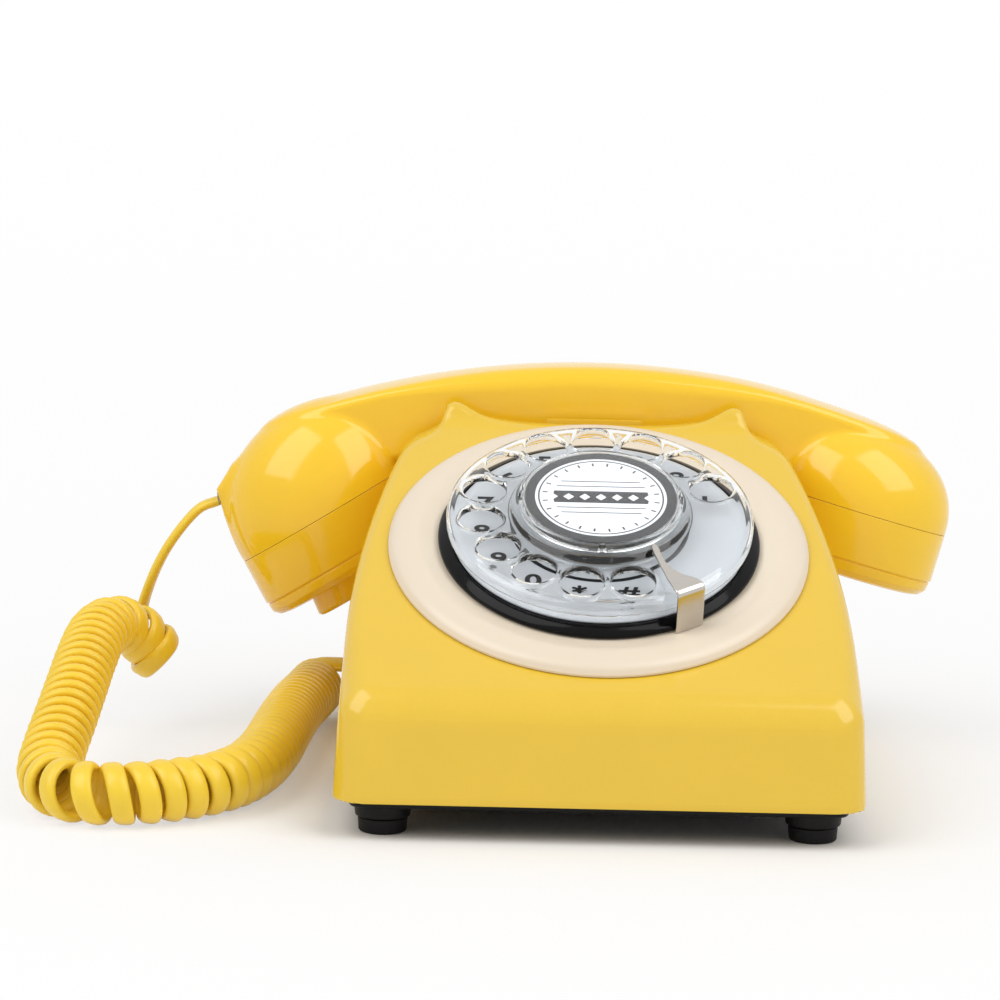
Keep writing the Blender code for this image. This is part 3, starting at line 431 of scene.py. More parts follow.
@dataclass(frozen=True)
class PrintedLabel(Finish):
    """White card with a dark border, ticks, a band of lozenges and ruled lines."""

    name: str
    plane: DialPlane
    ground: Colour
    dark: Colour

    def mixed(self, graph: Graph) -> Wire:
        """Lay the label's print."""
        across, up = self.plane.spread(graph)
        radius = across.maths("SQRT", across * across + up * up)
        turn = across.maths("ARCTAN2", up, across) * (180.0 / math.pi)
        edge = 0.12
        border = 1.0 - radius.below(20.4, edge)
        line = radius.below(19.5, edge) & (1.0 - radius.below(19.0, edge))
        tick_place = abs((turn + 360.0) % 15.0 - 7.5)
        ticks = tick_place.below(1.0, 0.3) & radius.below(18.2, edge) & (1.0 - radius.below(16.6, edge))
        inner = radius.below(14.8, edge)
        band = abs(up).below(3.1, edge) & inner
        lozenge = abs((across + 2.5) % 5.0 - 2.5) + abs(up)
        band = band & (1.0 - lozenge.below(1.7, edge))
        rules = (abs(abs(up) - 5.6).below(0.22, edge) | abs(abs(up) - 8.2).below(0.22, edge)) & inner
        printed = border | line | ticks | band | rules
        fibre = graph.noise(graph.place(), 2500.0, 3.0)
        deep = tuple(c * 0.93 for c in self.ground[:3]) + (1.0,)
        paper = graph.mix(fibre, self.ground, deep)
        sockets = {
            "Base Color": graph.mix(printed, paper, self.dark),
            "Roughness": 0.55 + 0.2 * fibre,
            "Normal": graph.bump(fibre, 0.00001),
        }
        return graph.add("ShaderNodeBsdfPrincipled", {}, sockets)


@dataclass(frozen=True)
class CopperWinding(Finish):
    """Varnished wire wound in close turns, with painted shade in the grooves between the turns."""

    name: str
    colour: Colour

    def mixed(self, graph: Graph) -> Wire:
        """Lay the winding's nodes."""
        point = graph.place()
        across = graph.vector("DOT_PRODUCT", point, (1.0, 0.0, 0.0))
        wires = across.maths("SINE", across * (2000.0 * math.pi)) * 0.5 + 0.5
        # painted shade: the grooves between the wire turns are darkened to about a third of the copper's colour
        deep = tuple(c * 0.35 for c in self.colour[:3]) + (1.0,)
        sockets = {
            "Base Color": graph.mix(wires, deep, self.colour),
            "Metallic": 0.8,
            "Roughness": 0.3 + 0.15 * graph.noise(point, 200.0),
            "Normal": graph.bump(wires, 0.0002),
        }
        return graph.add("ShaderNodeBsdfPrincipled", {}, sockets)


@dataclass(frozen=True)
class PrintedBoard(Finish):
    """Circuit board with pale tracks under its lacquer."""

    name: str
    colour: Colour

    def mixed(self, graph: Graph) -> Wire:
        """Lay the board's nodes."""
        point = graph.place()
        settings = {"voronoi_dimensions": "2D", "feature": "DISTANCE_TO_EDGE"}
        cells = graph.add("ShaderNodeTexVoronoi", settings, {"Vector": point, "Scale": 190.0}, 0)
        tracks = cells.below(0.08, 0.04)
        light = tuple(min(1.0, c * 2.2 + 0.02) for c in self.colour[:3]) + (1.0,)
        sockets = {
            "Base Color": graph.mix(tracks, self.colour, light),
            "Roughness": 0.4 + 0.15 * graph.noise(point, 300.0),
            "Normal": graph.bump(tracks, 0.00004),
        }
        return graph.add("ShaderNodeBsdfPrincipled", {}, sockets)


@dataclass(frozen=True)
class StudioFloor(Finish):
    """White table top that keeps the telephone's shadow and runs out to plain white for the camera."""

    name: str
    colour: Colour
    foot: tuple[float, float, float] = (0.08, 0.106, 0.0)
    ease: float = 0.03

    def mixed(self, graph: Graph) -> Wire:
        """Lay the floor's nodes."""
        grain = graph.noise(graph.place(), 40.0, 2.0)
        out = graph.vector("SUBTRACT", graph.vector("ABSOLUTE", graph.place()), self.foot)
        past = graph.vector("LENGTH", graph.vector("MAXIMUM", out, (0.0, 0.0, 0.0)))
        far = past / (past + self.ease)
        sockets = {"Base Color": self.colour, "Roughness": 0.6 + 0.1 * grain}
        lit = graph.add("ShaderNodeBsdfPrincipled", {}, sockets)
        plain = graph.add("ShaderNodeEmission", {}, {"Color": (1.0, 1.0, 1.0, 1.0), "Strength": 1.0})
        return graph.add("ShaderNodeMixShader", {}, {0: far * graph.looked_at(), 1: lit, 2: plain})


# Mesh workshop


def round_and(first: np.ndarray, second: np.ndarray, radius: np.ndarray | float) -> np.ndarray:
    """Keep what two fields share, with a rounded edge."""
    corner = np.hypot(np.maximum(first + radius, 0), np.maximum(second + radius, 0))
    return np.minimum(np.maximum(first, second), -radius) + corner


def round_or(first: np.ndarray, second: np.ndarray, radius: np.ndarray | float) -> np.ndarray:
    """Join two fields, with a hollow fillet between them."""
    corner = np.hypot(np.maximum(radius - first, 0), np.maximum(radius - second, 0))
    return np.maximum(np.minimum(first, second), radius) - corner


def outline_distance(across: np.ndarray, along: np.ndarray, outline: Outline) -> np.ndarray:
    """Measure the distance to a closed outline, below zero inside it."""
    corners = np.array(outline, float)
    nearest = np.full(np.broadcast(across, along).shape, 1e9)
    inside = np.zeros(nearest.shape, bool)
    for (ax, az), (bx, bz) in zip(corners, np.roll(corners, -1, axis=0)):
        ex, ez = bx - ax, bz - az
        px, pz = across - ax, along - az
        part = np.clip((px * ex + pz * ez) / (ex * ex + ez * ez), 0, 1)
        nearest = np.minimum(nearest, (px - part * ex) ** 2 + (pz - part * ez) ** 2)
        inside ^= ((az > along) != (bz > along)) & (px < ex * pz / (ez or 1.0))
    return np.where(inside, -1, 1) * np.sqrt(nearest)


def smooth_curve(points: Sequence[Sequence[float]], count: int) -> np.ndarray:
    """Sample a smooth curve through given points at even lengths.

    Args:
        points: the points that the curve passes through.
        count: how many samples to give.

    Returns:
        The samples, one row each.
    """
    spots = np.array(points, float)
    ends = np.vstack([2 * spots[0] - spots[1], spots, 2 * spots[-1] - spots[-2]])
    t = np.linspace(0, 1, 40, endpoint=False)[:, None]
    dense = []
    for before, start, end, after in zip(ends, ends[1:], ends[2:], ends[3:]):
        slope = (end - before) * t
        bend = (2 * before - 5 * start + 4 * end - after) * t**2
        twist = (3 * start - before - 3 * end + after) * t**3
        dense.append(0.5 * (2 * start + slope + bend + twist))
    dense = np.vstack([*dense, spots[-1:]])
    steps = np.linalg.norm(np.diff(dense, axis=0), axis=1)
    length = np.concatenate([[0], np.cumsum(steps)])
    even = np.linspace(0, length[-1], count)
    return np.stack([np.interp(even, length, column) for column in dense.T], axis=1)


def eased(outline: Outline, radius: float, arc: int = 5) -> list[tuple[float, float]]:
    """Round the corners of a closed (radius, height) outline, apart from those on the axis."""
    made = []
    corners = [np.array(point, float) for point in outline]
    for k, corner in enumerate(corners):
        if corner[0] == 0:
            made.append(tuple(corner))
            continue
        back, ahead = corners[k - 1] - corner, corners[(k + 1) % len(corners)] - corner
        reach = min(radius, 0.48 * np.linalg.norm(back), 0.48 * np.linalg.norm(ahead))
        start = corner + back / np.linalg.norm(back) * reach
        end = corner + ahead / np.linalg.norm(ahead) * reach
        for t in np.linspace(0, 1, arc):
            made.append(tuple((1 - t) ** 2 * start + 2 * t * (1 - t) * corner + t**2 * end))
    return made


def make(name: str, points: np.ndarray, faces: Iterable[Sequence[int]], place: np.ndarray | None = None) -> bpy.types.Object:
    """Make a smooth-shaded piece from points in millimetres.

    Args:
        name: the piece's name.
        points: corner points in case millimetres, or local ones with a place.
        faces: corner numbers of each face.
        place: a 4x4 matrix from local to case millimetres.

    Returns:
        The new piece, in frame metres.
    """
    spots = np.asarray(points, float)
    if place is not None:
        spots = spots @ place[:3, :3].T + place[:3, 3]
    mesh = bpy.data.meshes.new(name)
    mesh.from_pydata(((spots + CASE_ORIGIN) * MM).tolist(), [], [list(map(int, face)) for face in faces])
    shape = bmesh.new()
    shape.from_mesh(mesh)
    bmesh.ops.recalc_face_normals(shape, faces=shape.faces)
    shape.to_mesh(mesh)
    shape.free()
    mesh.shade_smooth()
    mesh.set_sharp_from_angle(angle=SHARP_ANGLE)
    piece = bpy.data.objects.new(name, mesh)
    bpy.context.scene.collection.objects.link(piece)
    return piece


def cast(name: str, shape: Field, low: Sequence[float], high: Sequence[float], step: float, place: np.ndarray | None = None) -> bpy.types.Object:
    """Cast a solid from its distance field.

    Args:
        name: the piece's name.
        shape: the field in millimetres, below zero inside.
        low: the lowest corner of the mould.
        high: the highest corner of the mould.
        step: the mesh's cell size.
        place: a 4x4 matrix from local to case millimetres.

    Returns:
        The cast piece.
    """
    axes = [np.arange(a, b + step, step) for a, b in zip(low, high)]
    spread = np.meshgrid(*axes, indexing="ij", sparse=True)
    values = np.broadcast_to(shape(*spread), [len(axis) for axis in axes])
    grid = openvdb.FloatGrid(3 * step)
    grid.copyFromArray(np.ascontiguousarray(np.clip(values, -3 * step, 3 * step), dtype=np.float32))
    points, quads = grid.convertToQuads(0.0)
    points = np.array(low) + points.astype(float) * step
    nudge = 0.02
    for _ in range(3):
        level = shape(*points.T)
        slope = [(shape(*(points + e).T) - shape(*(points - e).T)) / (2 * nudge) for e in nudge * np.eye(3)]
        slope = np.stack(slope, axis=1)
        move = -(level / np.maximum((slope**2).sum(1), 0.1))[:, None] * slope
        reach = np.maximum(np.linalg.norm(move, axis=1), 1e-9)
        points = points + move * np.minimum(1.0, 0.6 * step / reach)[:, None]
    return make(name, points, quads, place)


def turned(name: str, outline: Outline, steps: int, place: np.ndarray) -> bpy.types.Object:
    """Turn a closed (radius, height) outline about a local axis."""
    points, rows, faces = [], [], []
    angles = np.linspace(0, 2 * math.pi, steps, endpoint=False)
    for radius, height in outline:
        spins = angles if radius > 0 else angles[:1]
        rows.append([len(points) + k for k in range(len(spins))])
        points += [(radius * math.cos(a), radius * math.sin(a), height) for a in spins]
    for first, second in zip(rows, rows[1:] + rows[:1]):
        for i in range(steps):
            j = (i + 1) % steps
            ring = [first[i % len(first)], first[j % len(first)], second[j % len(second)], second[i % len(second)]]
            corners = list(dict.fromkeys(ring))
            if len(corners) > 2:
                faces.append(corners)
    return make(name, np.array(points), faces, place)


def lofted(name: str, rings: Sequence[np.ndarray], place: np.ndarray | None = None) -> bpy.types.Object:
    """Join rings of equal point counts in order, and close both ends."""
    count = len(rings[0])
    faces = []
    for k in range(len(rings) - 1):
        for i in range(count):
            j = (i + 1) % count
            faces.append((k * count + i, k * count + j, (k + 1) * count + j, (k + 1) * count + i))
    faces.append(range(count))
    faces.append(range((len(rings) - 1) * count, len(rings) * count))
    return make(name, np.vstack(rings), faces, place)


def block(name: str, low: Sequence[float], high: Sequence[float], place: np.ndarray | None = None) -> bpy.types.Object:
    """Make a box-shaped cutter."""
    (a, b, c), (d, e, f) = low, high
    rings = [np.array([(a, b, z), (d, b, z), (d, e, z), (a, e, z)]) for z in (c, f)]
    return lofted(name, rings, place)


def rod(name: str, radius: float, low: float, high: float, spot: tuple[float, float], place: np.ndarray, sides: int = 32) -> bpy.types.Object:
    """Make a round cutter along the local axis."""
    turns = np.linspace(0, 2 * math.pi, sides, endpoint=False)
    x, y = spot[0] + radius * np.cos(turns), spot[1] + radius * np.sin(turns)
    return lofted(name, [np.stack([x, y, np.full(sides, z)], axis=1) for z in (low, high)], place)


def carve(piece: bpy.types.Object, cutters: Sequence[bpy.types.Object], operation: str = "DIFFERENCE") -> None:
    """Cut solids from a piece, or join them on, and remove the cutters."""
    for cutter in cutters:
        modifier = piece.modifiers.new(cutter.name, "BOOLEAN")
        modifier.operation = operation
        modifier.solver = "EXACT"
        modifier.object = cutter
    bpy.context.view_layer.update()
    graph = bpy.context.evaluated_depsgraph_get()
    mesh = bpy.data.meshes.new_from_object(piece.evaluated_get(graph))
    piece.modifiers.clear()
    old, piece.data = piece.data, mesh
    mesh.name = piece.name
    bpy.data.meshes.remove(old)
    for cutter in cutters:
        bpy.data.objects.remove(cutter)
    mesh.shade_smooth()
    mesh.set_sharp_from_angle(angle=SHARP_ANGLE)


def soften(piece: bpy.types.Object, width: float, segments: int = 3) -> None:
    """Round a piece's sharp edges with a bevel, its width in millimetres."""
    bevel = piece.modifiers.new("soft_edges", "BEVEL")
    bevel.width = width * MM
    bevel.segments = segments
    bevel.limit_method = "ANGLE"
    bevel.angle_limit = math.radians(35)
    bevel.harden_normals = True


def dress(piece: bpy.types.Object, finish: Finish, body: Body, slot: Slot, *nodes: str) -> bpy.types.Object:
    """Give a piece its finish, and set it on its body in place of CAD nodes.

    Args:
        piece: the piece to dress.
        finish: its finish.
        body: the body that it rides on.
        slot: the record's slot of that finish; not used.
        nodes: the CAD nodes that it stands for.

    Returns:
        The piece.
    """
    piece.data.materials.clear()
    piece.data.materials.append(finish.material())
    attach(piece, body.value)
    if nodes:
        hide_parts(*nodes)
    LOG.info("%s rides on %s", piece.name, body.value)
    return piece


def axis_place(spot: Sequence[float], tilt: float) -> np.ndarray:
    """Give the matrix of a local axis that leans sideways about Y."""
    place = np.eye(4)
    place[:3, :3] = np.array(Matrix.Rotation(tilt, 3, "Y"))
    place[:3, 3] = spot
    return place


# Finishes of the telephone

CASE_YELLOW = MouldedPlastic("case_yellow_gloss", ink(238, 198, 60), 0.17)
HANDSET_YELLOW = MouldedPlastic("handset_yellow_gloss", ink(255, 208, 40), 0.14)
JACKET_YELLOW = CordJacket("cord_yellow_jacket", ink(253, 215, 58))
RING_CREAM = MouldedPlastic("ring_cream", ink(234, 219, 197), 0.3, mottle=0.02)
RIM_BLACK = MouldedPlastic("rim_black_gloss", ink(10, 10, 11), 0.1, smudge=0.03, ior=1.22)
BASE_BLACK = MouldedPlastic("base_black_matte", ink(12, 12, 12), 0.5, grain_depth=0.00004, ior=1.3)
JACK_GREY = MouldedPlastic("jack_grey", ink(70, 70, 72), 0.45, grain_depth=0.00003)
FOOT_RUBBER = MouldedPlastic("foot_rubber", ink(13, 13, 13), 0.6, grain=1500.0, grain_depth=0.00006, ior=1.3)
WHEEL_CLEAR = ClearPlastic("wheel_clear", (0.97, 0.985, 0.99, 1.0))
PLUG_CLEAR = ClearPlastic("plug_clear", (0.93, 0.96, 0.98, 1.0), 0.08)
NUMERAL_BLACK = MouldedPlastic("numeral_black", ink(12, 12, 13), 0.4)
STOP_NICKEL = PlatedMetal("stop_nickel", ink(205, 200, 192), 0.12)
WORKS_STEEL = PlatedMetal("works_steel", ink(168, 170, 173), 0.28)
WORKS_BRASS = PlatedMetal("works_brass", ink(205, 164, 92), 0.28)
COIL_COPPER = CopperWinding("coil_copper", ink(184, 105, 52))
BOARD_GREEN = PrintedBoard("board_green", ink(38, 88, 52))


@dataclass
class Studio:
    """Camera, floor and soft light of the picture."""

    camera_spot: tuple[float, float, float] = (-42.188, -1024.969, 249.488)
    look_down: float = math.radians(8.14001)
    look_right: float = math.radians(0.57892)
    roll: float = math.radians(1.39886)
    lens: float = 127.997
    floor_size: float = 30.0
    light_turn: float = math.radians(57)
    light_rise: float = math.radians(46)
    light_distance: float = 1.5
    light_width: float = 1.05
    light_height: float = 1.35
    light_power: float = 11.5
    sky: float = 0.35

    def clear(self) -> None:
        """Remove what the start-up scene holds."""
        kept = set(frame["nodes"].values()) | set(frame["bodies"].values())
        for obj in list(bpy.context.scene.objects):
            if obj not in kept:
                bpy.data.objects.remove(obj)

    def set_camera(self) -> None:
        """Stand the camera where the photograph was taken."""
        e, s = self.look_down, self.look_right
        ahead = Vector((math.sin(s) * math.cos(e), math.cos(s) * math.cos(e), -math.sin(e)))
        level = Vector((math.cos(s), -math.sin(s), 0.0))
        lift = level.cross(ahead)
        right = level * math.cos(self.roll) + lift * math.sin(self.roll)
        up = lift * math.cos(self.roll) - level * math.sin(self.roll)
        data = bpy.data.cameras.new("camera")
        data.lens = self.lens
        data.sensor_width = 36.0
        data.clip_start = 0.01
        data.clip_end = 200.0
        camera = bpy.data.objects.new("camera", data)
        camera.matrix_world = Matrix((right, up, -ahead)).transposed().to_4x4()
        camera.location = (np.array(self.camera_spot) + CASE_ORIGIN) * MM
        bpy.context.scene.collection.objects.link(camera)
        bpy.context.scene.camera = camera

    def lay_floor(self) -> None:
        """Lay the white table top."""
        half = self.floor_size / MM / 2
        corners = np.array([(-half, -half, 0), (half, -half, 0), (half, half, 0), (-half, half, 0)])
        floor = make("floor", corners, [(0, 1, 2, 3)])
        floor.data.materials.append(StudioFloor("floor_white", ink(248, 247, 245)).material())

    def hang_lights(self) -> None:
        """Hang one softbox on each side, ahead of and above the telephone, under a soft sky."""
        for side, name in ((-1, "left"), (1, "right")):
            data = bpy.data.lights.new("softbox_" + name, "AREA")
            data.shape = "RECTANGLE"
            data.size = self.light_width
            data.size_y = self.light_height
            data.energy = self.light_power
            level = math.cos(self.light_rise)
            out, ahead = math.sin(self.light_turn) * level, math.cos(self.light_turn) * level
            away = Vector((side * out, -ahead, math.sin(self.light_rise)))
            lamp = bpy.data.objects.new(data.name, data)
            lamp.location = away * self.light_distance + Vector((0, 0, 0.06))
            lamp.rotation_euler = away.to_track_quat("Z", "Y").to_euler()
            bpy.context.scene.collection.objects.link(lamp)
        world = bpy.data.worlds.new("studio_white")
        bpy.context.scene.world = world
        graph = Graph(world)
        grey = (self.sky, self.sky, self.sky, 1.0)
        colour = graph.mix(graph.looked_at(), grey, (1.0, 1.0, 1.0, 1.0))
        graph.close(graph.add("ShaderNodeBackground", {}, {"Color": colour, "Strength": 1.0}))

    def build(self) -> None:
        """Set the whole studio."""
        self.clear()
        bpy.context.scene.view_settings.view_transform = "Standard"
        self.set_camera()
        self.lay_floor()
        self.hang_lights()


@dataclass
class CurlyCord:
    """Flat cord from the case's jack, along the table in curls, up to the handset's plug."""

    width: float = 6.6
    thickness: float = 3.4
    coil_radius: float = 7.8
    curls: int = 60
    per_curl: int = 24
    tight_pitch: float = 7.4
    tilt: tuple[float, float, float] = (0.1, 0.2, 0.5)
    loose_stretch: float = 0.15
    loose_share: float = 0.53
    loose_spread: float = 0.13
    bend_ease: float = 0.75
    length: float = 2.85
    tail_end: tuple[float, float, float] = (-70.3, 182.0, 18.0)
    start_side: tuple[float, float, float] = (-0.78, 0.0, -0.62)
    lead_flat: tuple[float, float, float] = (0.0, 1.0, 0.0)
    lead_turn: float = 0.15
    coil_route: tuple[tuple[float, float, float], ...] = (
        (-143.5, 151.5, 25.5), (-149.5, 149.5, 33), (-157, 142, 38), (-161.5, 126, 37.3), (-163, 108, 33.5),
        (-164, 88, 28), (-165.2, 68, 21.8), (-166.5, 50, 15.8), (-166.5, 33, 11.2), (-161.5, 19.5, 10),
        (-152, 13, 10), (-140, 13.5, 10), (-127.5, 19.5, 10), (-116.5, 29, 10), (-108.5, 44, 10), (-104, 63, 10),
        (-101.5, 85, 10), (-100, 108, 10), (-98.5, 130, 10), (-96.5, 150, 10), (-94, 167, 10), (-92, 182, 10),
    )
    lead_route: tuple[tuple[float, float, float], ...] = (
        (-124.6, 158, 78.0), (-132, 158, 74.4), (-141.5, 159.5, 62), (-148, 162, 48), (-151.5, 164, 34),
    )
    blend_start: tuple[float, float, float] = (-90.6, 41.5, 83.1)
    blend_end: tuple[float, float, float] = (-128.5, 58.9, 118.0)

    def frames(self, axis: np.ndarray) -> tuple[np.ndarray, np.ndarray, np.ndarray]:
        """Carry one cross direction along the coil's axis without twist."""
        ahead = np.gradient(axis, axis=0)
        ahead /= np.linalg.norm(ahead, axis=1)[:, None]
        across = np.cross(ahead[0], (0, 0, 1.0))
        sides = []
        for tangent in ahead:
            across = across - tangent * np.dot(across, tangent)
            across /= np.linalg.norm(across)
            sides.append(across)
        return ahead, np.array(sides), np.cross(ahead, np.array(sides))

    def wound(self, axis: np.ndarray) -> np.ndarray:
        """Give the share of the curls wound up to each axis point: slack at the front and round bends."""
        share = np.linspace(0, 1, len(axis))
        step = np.linalg.norm(np.gradient(axis, axis=0), axis=1)[:, None]
        ahead = np.gradient(axis, axis=0) / step
        bend = np.linalg.norm(np.gradient(ahead, axis=0) / step, axis=1)
        bend = np.convolve(np.pad(bend, 20, mode="edge"), np.ones(41) / 41, mode="valid")
        slack = 1 - self.loose_stretch * np.exp(-(((share - self.loose_share) / self.loose_spread) ** 2))
        turns = np.cumsum(slack * (1 - self.bend_ease * self.coil_radius * bend))
        return (turns - turns[0]) / (turns[-1] - turns[0])

    def curl_path(self) -> tuple[np.ndarray, np.ndarray]:
        """Give the curls' centreline and the flat side's direction at each point."""
        axis = smooth_curve(self.coil_route, 20 * self.curls)
        ahead, first, second = self.frames(axis)
        begin = math.atan2(np.dot(self.start_side, second[0]), np.dot(self.start_side, first[0]))
        last = math.atan2(second[-1][2], first[-1][2])
        curls = self.curls + (last - begin) / (2 * math.pi) % 1
        wanted = np.linspace(0, 1, round(curls * self.per_curl) + 1)
        share = np.interp(wanted, self.wound(axis), np.arange(len(axis)))

        def at(values: np.ndarray) -> np.ndarray:
            """Read axis values at the wanted turns."""
            return np.stack([np.interp(share, np.arange(len(axis)), column) for column in values.T], axis=1)

        angle = (begin + 2 * math.pi * curls * wanted)[:, None]
        around = np.cos(angle) * at(first) + np.sin(angle) * at(second)
        step = np.linalg.norm(np.diff(axis, axis=0), axis=1).mean()
        pitch = np.gradient(share) * step * self.per_curl
        least, rate, most = self.tilt
        lean = np.clip(least + rate * (self.tight_pitch - pitch), least, most)[:, None]
        flat = at(ahead) * np.cos(lean) + around * np.sin(lean)
        return at(axis) + self.coil_radius * around, flat

    def path(self) -> tuple[np.ndarray, np.ndarray, int, int]:
        """Give the cord's centreline from the case to the handset, its flat direction, and the curls' ends."""
        curls, flat = self.curl_path()
        start = (curls[0] - curls[1]) / np.linalg.norm(curls[0] - curls[1])
        end = (curls[-1] - curls[-2]) / np.linalg.norm(curls[-1] - curls[-2])
        spots = [curls[0], curls[0] + start * 3, curls[0] + start * 7]
        lead = smooth_curve(spots + [np.array(p, float) for p in reversed(self.lead_route)], 40)[1:]
        stop = np.array(self.tail_end)
        tail = smooth_curve([curls[-1], curls[-1] + end * 4, stop - (4, 0, 0), stop], 12)[1:]
        points = np.vstack([tail[::-1], curls[::-1], lead])
        sides = np.vstack([np.tile(flat[-1], (len(tail), 1)), flat[::-1], np.tile(flat[0], (len(lead), 1))])
        return points, sides, len(tail), len(tail) + len(curls)

    def section(self) -> np.ndarray:
        """Give the cord's flattened section, with a faint groove between its two wires."""
        turn = np.linspace(0, 2 * math.pi, 20, endpoint=False)
        wide = np.cos(turn) * self.width / 2
        thick = np.sign(np.sin(turn)) * np.abs(np.sin(turn)) ** 0.85 * self.thickness / 2
        groove = 1 - 0.06 * np.exp(-((wide / (0.12 * self.width)) ** 2))
        return np.stack([wide, thick * groove], axis=1)

    def build(self) -> bpy.types.Object:
        """Sweep the section along the path, and hold both ends."""
        points, sides, first, last = self.path()
        ahead = np.gradient(points, axis=0)
        ahead /= np.linalg.norm(ahead, axis=1)[:, None]
        flat = sides - ahead * (sides * ahead).sum(1)[:, None]
        for k in range(first - 1, -1, -1):
            flat[k] = flat[k + 1] - ahead[k] * np.dot(flat[k + 1], ahead[k])
        aim = np.array(self.lead_flat) * math.copysign(self.lead_turn, np.dot(flat[last - 1], self.lead_flat))
        for k in range(last, len(points)):
            turned_on = flat[k - 1] / np.linalg.norm(flat[k - 1]) + aim
            flat[k] = turned_on - ahead[k] * np.dot(turned_on, ahead[k])
        flat /= np.linalg.norm(flat, axis=1)[:, None]
        thin = np.cross(ahead, flat)
        section = self.section()
        rings = [p + section[:, :1] * f + section[:, 1:] * t for p, f, t in zip(points, flat, thin)]
        cord = lofted("curly_cord", rings)
        cord.data.materials.append(JACKET_YELLOW.material())
        path = (points + CASE_ORIGIN) * MM
        measured = np.linalg.norm(np.diff(path, axis=0), axis=1).sum()
        LOG.info("curly_cord is %.3f m long", measured)
        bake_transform(cord)
        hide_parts("cord_lead", "cord_curl", "cord_tail")
        return cord


